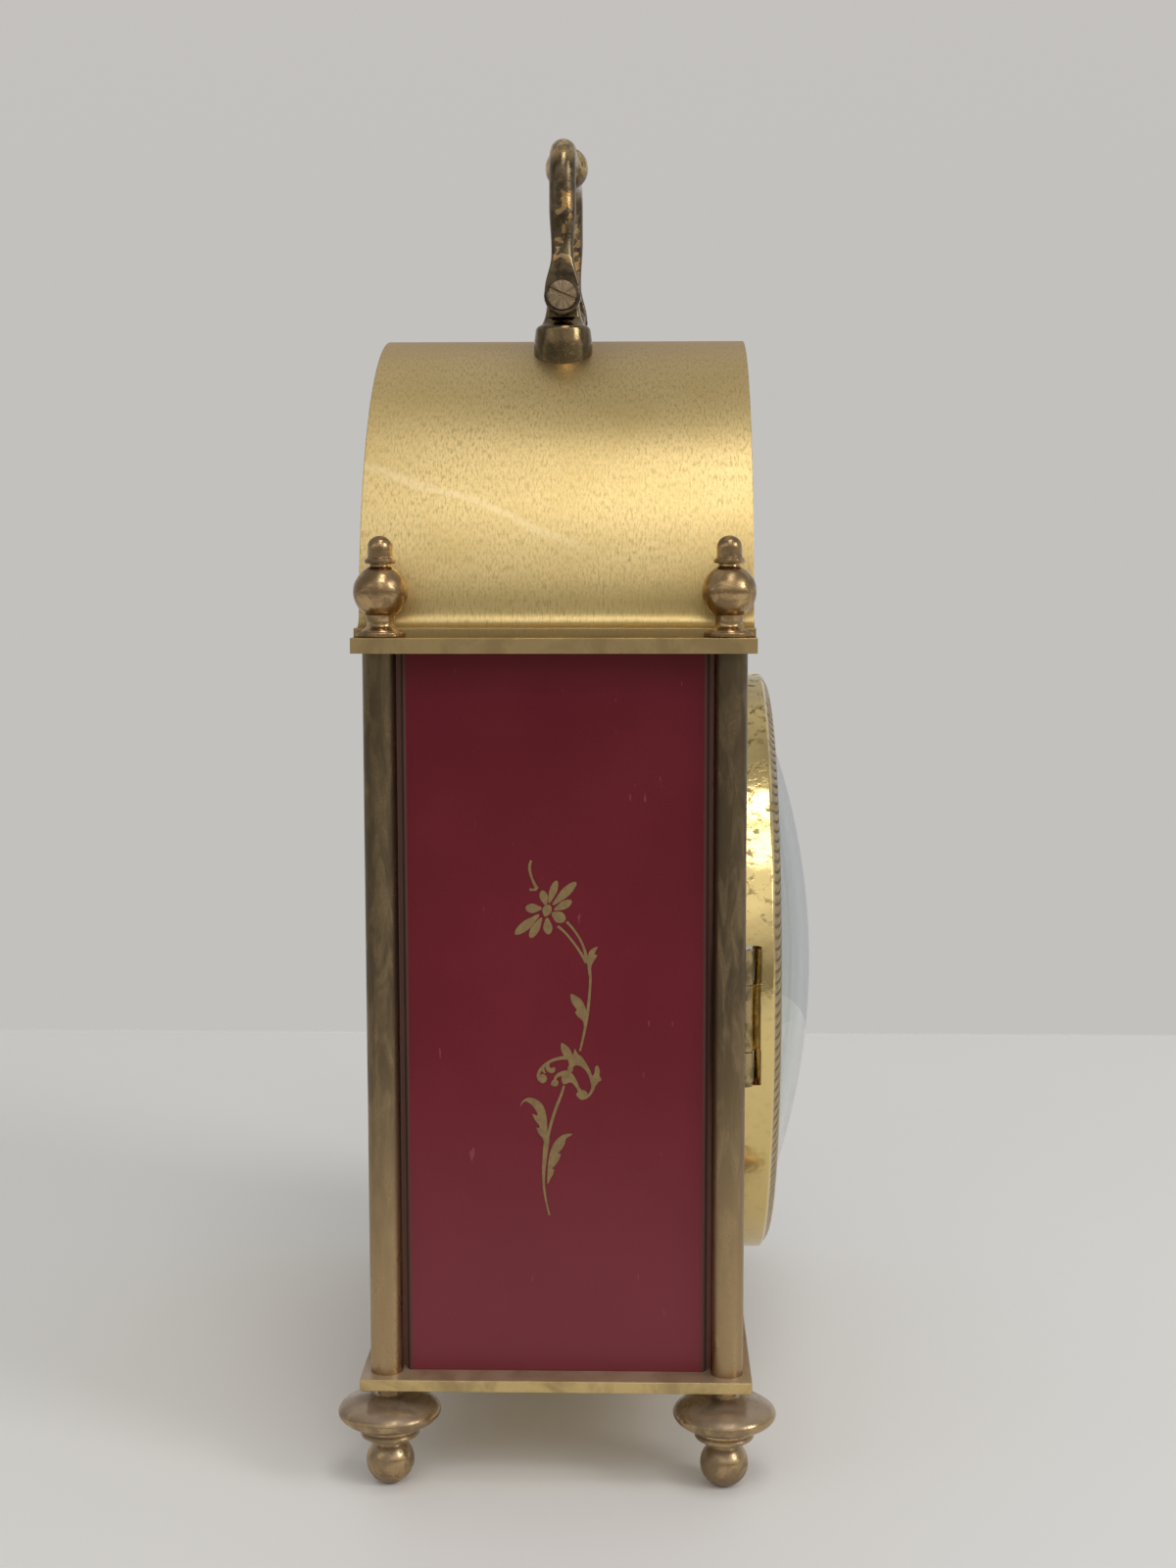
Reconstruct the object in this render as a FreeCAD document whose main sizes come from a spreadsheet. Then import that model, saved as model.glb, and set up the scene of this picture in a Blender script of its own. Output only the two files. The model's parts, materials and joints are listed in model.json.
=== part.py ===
"""An arched brass bracket clock with lacquered side panels and a wound lever movement.

The clock faces -Y and stands on +Z. The origin is on the surface that the feet rest on,
under the middle of the whole clock's box. Every length is in millimetres.
"""
import FreeCAD
import Part
import Sketcher
import math
import os
from types import SimpleNamespace
from FreeCAD import Placement, Rotation, Vector


class Size:
    """A length, share or angle that knows its value and the sheet expression behind it."""

    def __init__(self, value, text):
        self.value = value
        self.text = text

    def joined(self, sign, other, value):
        return Size(value, "(%s %s %s)" % (self.text, sign, other.text))

    def __add__(self, other):
        other = as_size(other)
        return self.joined("+", other, self.value + other.value)

    def __sub__(self, other):
        other = as_size(other)
        return self.joined("-", other, self.value - other.value)

    def __mul__(self, other):
        other = as_size(other)
        return self.joined("*", other, self.value * other.value)

    def __truediv__(self, other):
        other = as_size(other)
        return self.joined("/", other, self.value / other.value)

    def __radd__(self, other):
        return as_size(other) + self

    def __rsub__(self, other):
        return as_size(other) - self

    def __rmul__(self, other):
        return as_size(other) * self

    def __neg__(self):
        return as_size(0) - self


def as_size(number):
    return number if isinstance(number, Size) else Size(number, repr(number))


def root(size):
    return Size(math.sqrt(size.value), "sqrt(%s)" % size.text)


def cosine(angle):
    return Size(math.cos(math.radians(angle.value)), "cos(%s)" % angle.text)


def sine(angle):
    return Size(math.sin(math.radians(angle.value)), "sin(%s)" % angle.text)


# The driving dimensions, in groups: each one is a cell of the spreadsheet
DRIVING = {
    # plates, columns and the clearances that are used everywhere
    "plate_width": 133.2,
    "plate_depth": 68.0,
    "base_plate_thickness": 2.0,
    "top_plate_thickness": 2.6,
    "column_radius": 2.8,
    "column_inset_across": 4.85,
    "column_inset_deep": 4.6,
    "stud_radius": 1.5,
    "stud_reach": 6.0,
    "stud_play": 0.1,
    "running_play": 0.06,
    "small_gap": 0.3,
    "overrun": 1.0,
    # feet: the disc hangs under the base plate
    "foot_height": 18.3,
    "foot_ball_radius": 4.05,
    "foot_flat_depth": 0.15,
    "foot_waist_radius": 2.7,
    "foot_disc_radius": 9.0,
    "foot_disc_half_height": 3.0,
    "foot_disc_drop": 5.2,
    "foot_neck_radius": 2.1,
    # finials, each part standing on the one below
    "finial_base_radius": 4.4,
    "finial_base_thickness": 0.9,
    "finial_flare_height": 1.5,
    "finial_neck_radius": 2.4,
    "finial_ball_radius": 4.6,
    "finial_ball_rise": 5.2,
    "finial_collar_radius": 1.8,
    "finial_collar_rise": 4.8,
    "finial_rim_radius": 2.65,
    "finial_rim_thickness": 0.7,
    "finial_cap_radius": 2.15,
    "finial_cap_length": 2.6,
    "finial_dome_height": 2.0,
    # side, front and rear panels
    "sheet_thickness": 1.2,
    "side_panel_inset_across": 5.0,
    "side_panel_inset_deep": 8.2,
    "bevel_run": 3.2,
    "lip_run": 10.6,
    "front_panel_inset_across": 4.6,
    "front_panel_inset_deep": 5.4,
    "panel_centre_hole_radius": 4.5,
    "winding_hole_radius": 3.4,
    "cover_screw_inset": 3.0,
    "cover_screw_rise": 12.6,
    "cover_screw_head_radius": 2.2,
    "cover_screw_head_height": 1.2,
    "cover_screw_shank_radius": 1.0,
    "screw_slot_width": 0.6,
    "screw_slot_depth": 0.5,
    "regulator_hole_radius": 5.0,
    # arched top
    "vault_inset": 10.6,
    "vault_thickness": 1.5,
    "vault_end_inset": 0.1,
    "vault_flare_radius": 11.0,
    "vault_flare_angle": 11.5,
    "vault_flange_inset": 3.9,
    "arch_panel_recess": 1.5,
    "arch_panel_gap": 0.2,
    # handle
    "post_half_span": 20.4,
    "post_base_radius": 5.2,
    "post_base_rise": 2.6,
    "post_shoulder_radius": 4.3,
    "post_neck_radius": 3.0,
    "post_flat_offset": 1.6,
    "bail_pivot_rise": 6.2,
    "bail_eye_radius": 3.4,
    "bail_eye_thickness": 2.4,
    "bail_side_play": 0.2,
    "bail_rise": 26.9,
    "bail_bar_radius": 2.45,
    "bail_bend_radius": 5.6,
    "bail_leg_lean": 1.2,
    "bail_knob_radius": 4.15,
    "bail_waist_half_width": 2.05,
    "bail_waist_half_thickness": 1.4,
    "handle_screw_radius": 1.6,
    "handle_screw_head_radius": 2.8,
    "handle_screw_head_height": 1.1,
    "handle_screw_length": 3.6,
    # bezel: room round it, its insets from its own edge, and its rises from the front panel
    "bezel_side_gap": 2.05,
    "bezel_foot_room": 5.3,
    "bezel_head_room": 6.8,
    "bezel_wall": 1.5,
    "bezel_drum_rise": 9.2,
    "bezel_bevel_inset": 0.5,
    "bezel_bevel_rise": 9.8,
    "bezel_crest_inset": 3.3,
    "bezel_crest_rise": 10.8,
    "bezel_groove_inset": 4.5,
    "bezel_groove_rise": 10.6,
    "bezel_opening_inset": 6.9,
    "bezel_lip_rise": 10.3,
    "bezel_seat_inset": 4.1,
    "bezel_seat_rise": 8.4,
    "glass_inset": 5.1,
    "glass_rise": 19.3,
    "glass_edge_rise": 8.6,
    "glass_thickness": 1.8,
    "retainer_inset": 7.7,
    "retainer_thickness": 0.8,
    # bezel hinge and catch
    "hinge_axis_outset": 0.4,
    "hinge_axis_rise": 4.2,
    "hinge_barrel_radius": 1.35,
    "hinge_pin_radius": 0.6,
    "hinge_half_length": 12.0,
    "hinge_middle_half_length": 5.8,
    "hinge_end_play": 0.2,
    "hinge_leaf_thickness": 0.8,
    "hinge_slot_play": 0.4,
    "wall_gap": 0.5,
    "leaf_dial_gap": 1.0,
    "catch_thickness": 0.7,
    "catch_half_height": 4.0,
    "catch_length": 4.9,
    "catch_foot_run": 0.9,
    "catch_foot_thickness": 0.6,
    # dial and hands
    "dial_thickness": 1.0,
    "dial_centre_hole_radius": 3.4,
    "hour_hand_edge_gap": 25.0,
    "minute_hand_edge_gap": 10.5,
    "hand_tail_length": 9.0,
    "hand_thickness": 0.4,
    "hour_hand_half_width": 1.3,
    "minute_hand_half_width": 1.0,
    "spade_half_width": 4.2,
    "hour_boss_radius": 3.9,
    "minute_boss_radius": 2.9,
    "hour_hand_rise": 1.3,
    "minute_hand_rise": 3.3,
    "hand_nut_radius": 1.9,
    "hand_nut_height": 1.3,
    # movement frame
    "movement_half_width": 36.0,
    "movement_foot_room": 4.2,
    "movement_above": 47.5,
    "movement_plate_thickness": 1.6,
    "movement_front_inset": 7.0,
    "movement_rear_room": 2.6,
    "pillar_radius": 2.5,
    "pillar_stud_radius": 1.4,
    "pillar_edge_inset": 5.0,
    "standoff_radius": 3.0,
    "arbor_radius": 0.9,
    "fine_arbor_radius": 0.55,
    "pipe_wall": 0.4,
    "pivot_radius": 0.5,
    "end_shake": 0.3,
    # wheels: a tooth module in millimetres and a count of teeth for each pair
    "barrel_module": 0.75,
    "barrel_teeth": 60,
    "barrel_pinion_leaves": 10,
    "intermediate_module": 0.5,
    "intermediate_teeth": 72,
    "intermediate_pinion_leaves": 8,
    "centre_module": 0.5,
    "centre_teeth": 64,
    "centre_pinion_leaves": 8,
    "third_module": 0.45,
    "third_teeth": 60,
    "third_pinion_leaves": 8,
    "fourth_module": 0.3,
    "fourth_teeth": 80,
    "fourth_pinion_leaves": 8,
    "cannon_module": 0.6,
    "cannon_leaves": 12,
    "minute_wheel_teeth": 36,
    "hour_pinion_leaves": 12,
    "hour_wheel_teeth": 48,
    "escape_teeth": 15,
    "escape_radius": 6.0,
    "wheel_thickness": 0.9,
    "pinion_length": 2.1,
    "wheel_rim_share": 0.8,
    "wheel_hub_share": 0.24,
    # arbors, by the way that each one lies from the one before it
    "barrel_drop_share": 0.5711775,
    "third_angle": 60.0,
    "fourth_angle": 165.0,
    "escape_angle": 150.0,
    "lever_angle": 50.0,
    "lever_distance": 9.0,
    "fork_root_share": 0.6,
    "fork_tip_share": 0.76,
    "balance_angle": 0.0,
    "balance_distance": 11.4,
    "minute_wheel_angle": 0.0,
    # how far each wheel's rear face lies behind the front plate
    "centre_wheel_setback": 2.0,
    "drum_setback": 4.0,
    "third_wheel_setback": 6.6,
    "fourth_wheel_setback": 11.1,
    "lever_setback": 13.6,
    "escape_wheel_setback": 15.4,
    "great_wheel_setback": 18.4,
    "balance_setback": 19.6,
    "intermediate_setback": 21.4,
    # how far each one's rear face lies in front of the front plate
    "ratchet_rise": 0.4,
    "cannon_rise": 0.5,
    "minute_wheel_rise": 0.8,
    "hour_wheel_rise": 2.4,
    # barrel, winding arbor and click work
    "drum_radius": 19.0,
    "drum_wall": 1.0,
    "great_wheel_thickness": 1.4,
    "winding_arbor_radius": 2.5,
    "winding_pivot_radius": 2.0,
    "winding_square_side": 2.6,
    "winding_square_setback": 0.6,
    "spring_thickness": 0.4,
    "spring_turns": 12,
    "spring_inner_radius": 3.1,
    "ratchet_radius": 8.0,
    "ratchet_teeth": 24,
    "ratchet_tooth_depth": 1.1,
    "ratchet_thickness": 1.0,
    "click_pivot_across": 11.5,
    "click_pivot_rise": 5.0,
    "click_pivot_radius": 1.2,
    "click_radius": 2.3,
    "click_heel_width": 2.0,
    "click_nose_width": 1.0,
    "click_lift_share": 0.125,
    "click_spring_width": 0.4,
    "click_spring_foot_radius": 1.6,
    # balance
    "balance_radius": 8.5,
    "balance_rim_width": 1.2,
    "balance_thickness": 1.1,
    "balance_arm_half_width": 0.6,
    "balance_window_radius": 10.5,
    "staff_radius": 0.6,
    "staff_pivot_radius": 0.3,
    "roller_radius": 1.8,
    "hairspring_inner_radius": 1.7,
    "hairspring_pitch": 0.75,
    "hairspring_turns": 5,
    "hairspring_thickness": 0.2,
    "hairspring_height": 0.6,
    "cock_half_length": 16.0,
    "cock_half_width": 3.4,
    "cock_thickness": 1.6,
    "cock_boss_radius": 2.6,
    "cock_boss_height": 1.3,
    "index_radius": 4.0,
    "index_thickness": 0.8,
    "index_length": 13.0,
    "index_half_width": 0.8,
}

doc = FreeCAD.newDocument("bracket_clock")
sheet = doc.addObject("Spreadsheet::Sheet", "sizes")
for row, (word, number) in enumerate(DRIVING.items(), start=1):
    sheet.set("A%d" % row, word)
    sheet.set("B%d" % row, str(number))
    sheet.setAlias("B%d" % row, word)
doc.recompute()
s = SimpleNamespace(**{word: Size(sheet.get(word), "sizes." + word) for word in DRIVING})

# Across: the bezel fills the space between the columns, and the case follows the plates
column_x = s.plate_width / 2 - s.column_inset_across
bezel_radius = column_x - s.column_radius - s.bezel_side_gap
wall_inner = bezel_radius - s.bezel_wall
side_panel_half_width = s.plate_width / 2 - s.side_panel_inset_across
bevel_foot_half_width = side_panel_half_width - s.bevel_run
lip_half_width = side_panel_half_width - s.lip_run
front_panel_half_width = side_panel_half_width - s.front_panel_inset_across
cover_screw_across = front_panel_half_width - s.cover_screw_inset
hinge_axis_across = bezel_radius + s.hinge_axis_outset
moving_leaf_across = wall_inner - s.wall_gap - s.hinge_leaf_thickness
catch_across = wall_inner - s.wall_gap - s.catch_thickness
catch_foot_inner = catch_across - s.catch_foot_run
dial_radius = catch_foot_inner - s.small_gap
fixed_leaf_inner = dial_radius + s.leaf_dial_gap
hour_hand_length = dial_radius - s.hour_hand_edge_gap
minute_hand_length = dial_radius - s.minute_hand_edge_gap

# Heights: the columns are as long as the bezel and the room below and above it
column_length = bezel_radius * 2 + s.bezel_foot_room + s.bezel_head_room
base_top = s.foot_height + s.base_plate_thickness
case_top = base_top + column_length
plate_top = case_top + s.top_plate_thickness
dial_height = base_top + s.bezel_foot_room + bezel_radius
movement_bottom = base_top + s.movement_foot_room
movement_top = dial_height + s.movement_above
foot_disc_middle = s.foot_height - s.foot_disc_drop
finial_ball_middle = s.finial_base_thickness + s.finial_flare_height + s.finial_ball_rise
finial_rim_height = finial_ball_middle + s.finial_collar_rise
finial_cap_height = finial_rim_height + s.finial_cap_length

# Depths: what stands in front is counted from the front panel's face
column_y = s.plate_depth / 2 - s.column_inset_deep
side_panel_half_depth = s.plate_depth / 2 - s.side_panel_inset_deep
front_panel_reach = s.plate_depth / 2 - s.front_panel_inset_deep
panel_back = front_panel_reach - s.sheet_thickness
dial_front = front_panel_reach + s.dial_thickness
hour_hand_back = dial_front + s.hour_hand_rise
minute_hand_back = dial_front + s.minute_hand_rise
hand_nut_back = minute_hand_back + s.hand_thickness
glass_front = front_panel_reach + s.glass_rise
rear_reach = column_y + s.foot_disc_radius
case_y = (glass_front - rear_reach) / 2
bezel_back = front_panel_reach + s.small_gap
hinge_axis_reach = front_panel_reach + s.hinge_axis_rise
hinge_slot_front = hinge_axis_reach + s.hinge_barrel_radius
moving_leaf_back = front_panel_reach + s.hinge_leaf_thickness + s.hinge_end_play
movement_front_reach = front_panel_reach - s.movement_front_inset
movement_front_back = movement_front_reach - s.movement_plate_thickness
movement_plate_spacing = s.intermediate_setback + s.movement_rear_room
movement_rear_front = movement_front_back - movement_plate_spacing
movement_rear_back = movement_rear_front - s.movement_plate_thickness
great_wheel_back = movement_front_back - s.great_wheel_setback
intermediate_back = movement_front_back - s.intermediate_setback
centre_wheel_back = movement_front_back - s.centre_wheel_setback
third_wheel_back = movement_front_back - s.third_wheel_setback
fourth_wheel_back = movement_front_back - s.fourth_wheel_setback
escape_wheel_back = movement_front_back - s.escape_wheel_setback
lever_back = movement_front_back - s.lever_setback
balance_back = movement_front_back - s.balance_setback
ratchet_back = movement_front_reach + s.ratchet_rise
cannon_back = movement_front_reach + s.cannon_rise
minute_wheel_back = movement_front_reach + s.minute_wheel_rise
hour_wheel_back = movement_front_reach + s.hour_wheel_rise
winding_square_reach = dial_front - s.winding_square_setback
drum_length = s.great_wheel_setback - s.great_wheel_thickness - s.drum_setback
spring_room = s.drum_radius - s.drum_wall - s.small_gap - s.spring_thickness - s.spring_inner_radius
spring_pitch = spring_room / s.spring_turns

# The glass is part of a ball, and it sits against the bezel's lip and the retainer
glass_radius = bezel_radius - s.glass_inset
bezel_opening_radius = bezel_radius - s.bezel_opening_inset
glass_dome = s.glass_rise - s.glass_edge_rise
glass_ball = (glass_radius * glass_radius + glass_dome * glass_dome) / (glass_dome * 2)
glass_middle = glass_ball - glass_front
lip_back = root(glass_ball * glass_ball - bezel_opening_radius * bezel_opening_radius) - glass_middle
glass_hollow = glass_ball - s.glass_thickness
retainer_front = root(glass_hollow * glass_hollow - glass_radius * glass_radius) - glass_middle

# The arched top: the middles of its large arc and of its two flares
vault_radius = s.plate_width / 2 - s.vault_inset
vault_length = s.plate_depth - s.vault_end_inset * 2
vault_flange_reach = s.plate_width / 2 - s.vault_flange_inset
flare_x = (vault_radius + s.vault_flare_radius) * cosine(s.vault_flare_angle)
flare_side = flare_x - vault_flange_reach
flare_outer = s.vault_flare_radius + s.vault_thickness
flare_z = root(flare_outer * flare_outer - flare_side * flare_side)
flare_tip = root(s.vault_flare_radius * s.vault_flare_radius - flare_side * flare_side)
vault_z = flare_z - (vault_radius + s.vault_flare_radius) * sine(s.vault_flare_angle)
vault_top = plate_top + vault_z + vault_radius
post_base_height = vault_top + s.post_base_rise
post_flat_reach = s.post_half_span + s.post_flat_offset
bail_pivot_height = vault_top + s.bail_pivot_rise

# Where each arbor stands: across and up
barrel_pitch = s.barrel_module * (s.barrel_teeth + s.barrel_pinion_leaves) / 2
intermediate_pitch = s.intermediate_module * (s.intermediate_teeth + s.intermediate_pinion_leaves) / 2
centre_pitch = s.centre_module * (s.centre_teeth + s.centre_pinion_leaves) / 2
third_pitch = s.third_module * (s.third_teeth + s.third_pinion_leaves) / 2
fourth_pitch = s.fourth_module * (s.fourth_teeth + s.fourth_pinion_leaves) / 2
cannon_pitch = s.cannon_module * (s.cannon_leaves + s.minute_wheel_teeth) / 2
hour_module = cannon_pitch * 2 / (s.hour_pinion_leaves + s.hour_wheel_teeth)
centre_at = (as_size(0), dial_height)
barrel_drop = bezel_radius * s.barrel_drop_share
barrel_at = (as_size(0), dial_height - barrel_drop)
barrel_reach = barrel_pitch * barrel_pitch - intermediate_pitch * intermediate_pitch
intermediate_rise = (barrel_reach + barrel_drop * barrel_drop) / (barrel_drop * 2)
intermediate_side = root(barrel_pitch * barrel_pitch - intermediate_rise * intermediate_rise)
intermediate_at = (-intermediate_side, barrel_at[1] + intermediate_rise)


def beside(place, distance, angle):
    return (place[0] + distance * cosine(angle), place[1] + distance * sine(angle))


third_at = beside(centre_at, centre_pitch, s.third_angle)
fourth_at = beside(third_at, third_pitch, s.fourth_angle)
escape_at = beside(fourth_at, fourth_pitch, s.escape_angle)
lever_at = beside(escape_at, s.lever_distance, s.lever_angle)
balance_at = beside(lever_at, s.balance_distance, s.balance_angle)
minute_wheel_at = beside(centre_at, cannon_pitch, s.minute_wheel_angle)
click_at = (barrel_at[0] - s.click_pivot_across, barrel_at[1] + s.click_pivot_rise)

pieces = []


def piece(obj, label, x=0, y=0, z=0):
    """Name a finished sub-part and set it down; y counts back from the case's middle."""
    obj.Label = label
    for way, size in (("x", as_size(x)), ("y", case_y + y), ("z", as_size(z))):
        obj.setExpression("Placement.Base." + way, size.text)
    pieces.append(obj)
    return obj


def bind(obj, **sizes):
    for prop, size in sizes.items():
        if isinstance(size, Size):
            obj.setExpression(prop, size.text)
        else:
            setattr(obj, prop, size)
    return obj


def primitive(kind, name, at=(0, 0, 0), turn=None, **sizes):
    """A Part primitive whose sizes and place are bound to the sheet."""
    obj = doc.addObject("Part::" + kind, name)
    bind(obj, **sizes)
    if turn is not None:
        obj.Placement = Placement(Vector(), turn)
    for way, size in zip("xyz", at):
        if isinstance(size, Size):
            obj.setExpression("Placement.Base." + way, size.text)
    return obj


FORWARD = Rotation(Vector(1, 0, 0), 90)
SIDEWAYS = Rotation(Vector(0, 1, 0), 90)


def rod(name, radius, length, at=(0, 0, 0), turn=None):
    return primitive("Cylinder", name, at, turn, Radius=radius, Height=length)


def block(name, length, width, height, at):
    return primitive("Box", name, at, Length=length, Width=width, Height=height)


def fused(name, *shapes):
    obj = doc.addObject("Part::MultiFuse", name)
    obj.Shapes = list(shapes)
    obj.Refine = True
    return obj


def cut(name, base, tool):
    obj = doc.addObject("Part::Cut", name)
    obj.Base = base
    obj.Tool = tool
    obj.Refine = True
    return obj


def common(name, base, tool):
    obj = doc.addObject("Part::Common", name)
    obj.Base = base
    obj.Tool = tool
    return obj


def hold(sketch, index, position, kind, size):
    """Hold one end or centre of a sketch line at a named size from the origin."""
    size = as_size(size)
    if size.text in ("0", "0.0"):
        axis = -2 if kind == "DistanceX" else -1
        sketch.addConstraint(Sketcher.Constraint("PointOnObject", index, position, axis))
        return
    number = sketch.addConstraint(Sketcher.Constraint(kind, index, position, size.value))
    sketch.setExpression("Constraints[%d]" % number, size.text)


def at_value(point):
    return Vector(as_size(point[0]).value, as_size(point[1]).value, 0)


def draw_ring(sketch, centre, radius):
    index = sketch.addGeometry(Part.Circle(at_value(centre), Vector(0, 0, 1), as_size(radius).value))
    number = sketch.addConstraint(Sketcher.Constraint("Radius", index, as_size(radius).value))
    sketch.setExpression("Constraints[%d]" % number, as_size(radius).text)
    hold(sketch, index, 3, "DistanceX", centre[0])
    hold(sketch, index, 3, "DistanceY", centre[1])


def draw_loop(sketch, start, steps):
    """A closed outline. A step is (point,) for a line, or (point, centre, sense) for an arc."""
    here = at_value(start)
    first = None
    previous = None
    hold_x, hold_y = True, True
    corner = start
    for step in list(steps) + [(start,)]:
        there = at_value(step[0])
        if len(step) == 1:
            index = sketch.addGeometry(Part.LineSegment(here, there))
            begin, end = 1, 2
        else:
            centre = at_value(step[1])
            a0 = math.atan2(here.y - centre.y, here.x - centre.x)
            a1 = math.atan2(there.y - centre.y, there.x - centre.x)
            begin, end = (1, 2) if step[2] > 0 else (2, 1)
            if step[2] < 0:
                a0, a1 = a1, a0
            circle = Part.Circle(centre, Vector(0, 0, 1), (here - centre).Length)
            index = sketch.addGeometry(Part.ArcOfCircle(circle, a0, a1))
            hold(sketch, index, 3, "DistanceX", step[1][0])
            hold(sketch, index, 3, "DistanceY", step[1][1])
        if previous is not None:
            sketch.addConstraint(Sketcher.Constraint("Coincident", previous[0], previous[1], index, begin))
        else:
            first = (index, begin)
        if hold_x:
            hold(sketch, index, begin, "DistanceX", corner[0])
        if hold_y:
            hold(sketch, index, begin, "DistanceY", corner[1])
        hold_x, hold_y = True, True
        if len(step) > 1:
            flat = abs(there.y - centre.y) > abs(there.x - centre.x)
            hold_x, hold_y = flat, not flat
        previous = (index, end)
        here = there
        corner = step[0]
    sketch.addConstraint(Sketcher.Constraint("Coincident", previous[0], previous[1], first[0], first[1]))


def sketched(name, plane, loops, rings=()):
    """A body with one sketch on an origin plane of its own."""
    body = doc.addObject("PartDesign::Body", name)
    sketch = body.newObject("Sketcher::SketchObject", name + "_outline")
    support = [o for o in body.Origin.OriginFeatures if o.Role == plane][0]
    sketch.AttachmentSupport = (support, [""])
    sketch.MapMode = "FlatFace"
    doc.recompute()
    for start, steps in loops:
        draw_loop(sketch, start, steps)
    for centre, radius in rings:
        draw_ring(sketch, centre, radius)
    return body, sketch


def padded(name, plane, thickness, loops, rings=()):
    """A plate: from an XY sketch it grows up, and from an XZ sketch it grows forward."""
    body, sketch = sketched(name, plane, loops, rings)
    pad = body.newObject("PartDesign::Pad", name + "_pad")
    pad.Profile = sketch
    bind(pad, Length=as_size(thickness))
    body.Tip = pad
    return body


def revolved(name, loops):
    """A ring turned about its own Y axis, from a sketch of radius and depth."""
    body, sketch = sketched(name, "XY_Plane", loops)
    turned = body.newObject("PartDesign::Revolution", name + "_turn")
    turned.Profile = sketch
    turned.ReferenceAxis = (sketch, ["V_Axis"])
    turned.Angle = 360
    body.Tip = turned
    return body


def rectangle(x0, y0, x1, y1):
    return (x0, y0), [((x1, y0),), ((x1, y1),), ((x0, y1),)]


CORNERS = (
    ("front_left", -1, -1),
    ("front_right", 1, -1),
    ("rear_left", -1, 1),
    ("rear_right", 1, 1),
)


def build_plates():
    """The base and top plates, each with a stud hole under every column."""
    half_x = s.plate_width / 2
    half_y = s.plate_depth / 2
    holes = [((column_x * i, column_y * j), s.stud_radius + s.stud_play) for _, i, j in CORNERS]
    outline = rectangle(-half_x, -half_y, half_x, half_y)
    for name, thickness, z in (
        ("base_plate", s.base_plate_thickness, s.foot_height),
        ("top_plate", s.top_plate_thickness, case_top),
    ):
        piece(padded(name + "_body", "XY_Plane", thickness, [outline], holes), name, 0, 0, z)


def build_column(place, i, j):
    name = place + "_column"
    shaft = rod(name + "_shaft", s.column_radius, column_length)
    depth = s.stud_reach + s.stud_play
    bore = s.stud_radius + s.stud_play
    low = rod(name + "_low_bore", bore, depth)
    high = rod(name + "_high_bore", bore, depth, (0, 0, column_length - depth))
    bores = fused(name + "_bores", low, high)
    piece(cut(name + "_solid", shaft, bores), name, column_x * i, column_y * j, base_top)


def build_foot(place, i, j):
    """A ball, a flattened disc and a neck, with a stud that screws up into the column."""
    name = place + "_foot"
    middle = s.foot_ball_radius - s.foot_flat_depth
    ball = primitive("Sphere", name + "_ball", (0, 0, middle), Radius=s.foot_ball_radius)
    floor_side = s.foot_ball_radius * 2
    below = block(
        name + "_below", floor_side, floor_side, s.foot_ball_radius,
        (-s.foot_ball_radius, -s.foot_ball_radius, -s.foot_ball_radius),
    )
    waist = rod(name + "_waist", s.foot_waist_radius, foot_disc_middle - middle, (0, 0, middle))
    disc = primitive(
        "Ellipsoid", name + "_disc", (0, 0, foot_disc_middle),
        Radius1=s.foot_disc_half_height, Radius2=s.foot_disc_radius, Radius3=s.foot_disc_radius,
    )
    neck = rod(
        name + "_neck", s.foot_neck_radius, s.foot_height - foot_disc_middle,
        (0, 0, foot_disc_middle),
    )
    stud_length = s.base_plate_thickness + s.stud_reach
    stud = rod(name + "_stud", s.stud_radius, stud_length, (0, 0, s.foot_height))
    solid = fused(name + "_turned", ball, waist, disc, neck, stud)
    piece(cut(name + "_solid", solid, below), name, column_x * i, column_y * j, 0)


def build_finial(place, i, j):
    """A turned finial: foot ring, ball and thimble, with a stud down into the column."""
    name = place + "_finial"
    flare_top = s.finial_base_thickness + s.finial_flare_height
    collar_length = finial_rim_height - finial_ball_middle
    ring = rod(name + "_ring", s.finial_base_radius, s.finial_base_thickness)
    flare = primitive(
        "Cone", name + "_flare", (0, 0, s.finial_base_thickness),
        Radius1=s.finial_base_radius - s.finial_base_thickness, Radius2=s.finial_neck_radius,
        Height=s.finial_flare_height,
    )
    neck = rod(name + "_neck", s.finial_neck_radius, finial_ball_middle - flare_top, (0, 0, flare_top))
    ball = primitive(
        "Sphere", name + "_ball", (0, 0, finial_ball_middle), Radius=s.finial_ball_radius
    )
    collar = rod(name + "_collar", s.finial_collar_radius, collar_length, (0, 0, finial_ball_middle))
    rim = rod(name + "_rim", s.finial_rim_radius, s.finial_rim_thickness, (0, 0, finial_rim_height))
    cap_length = finial_cap_height - finial_rim_height
    cap = rod(name + "_cap", s.finial_cap_radius, cap_length, (0, 0, finial_rim_height))
    dome = primitive(
        "Ellipsoid", name + "_dome", (0, 0, finial_cap_height),
        Radius1=s.finial_dome_height,
        Radius2=s.finial_cap_radius, Radius3=s.finial_cap_radius,
    )
    stud_length = s.top_plate_thickness + s.stud_reach
    stud = rod(name + "_stud", s.stud_radius, stud_length, (0, 0, -stud_length))
    solid = fused(name + "_solid", ring, flare, neck, ball, collar, rim, cap, dome, stud)
    piece(solid, name, column_x * i, column_y * j, plate_top)


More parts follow.
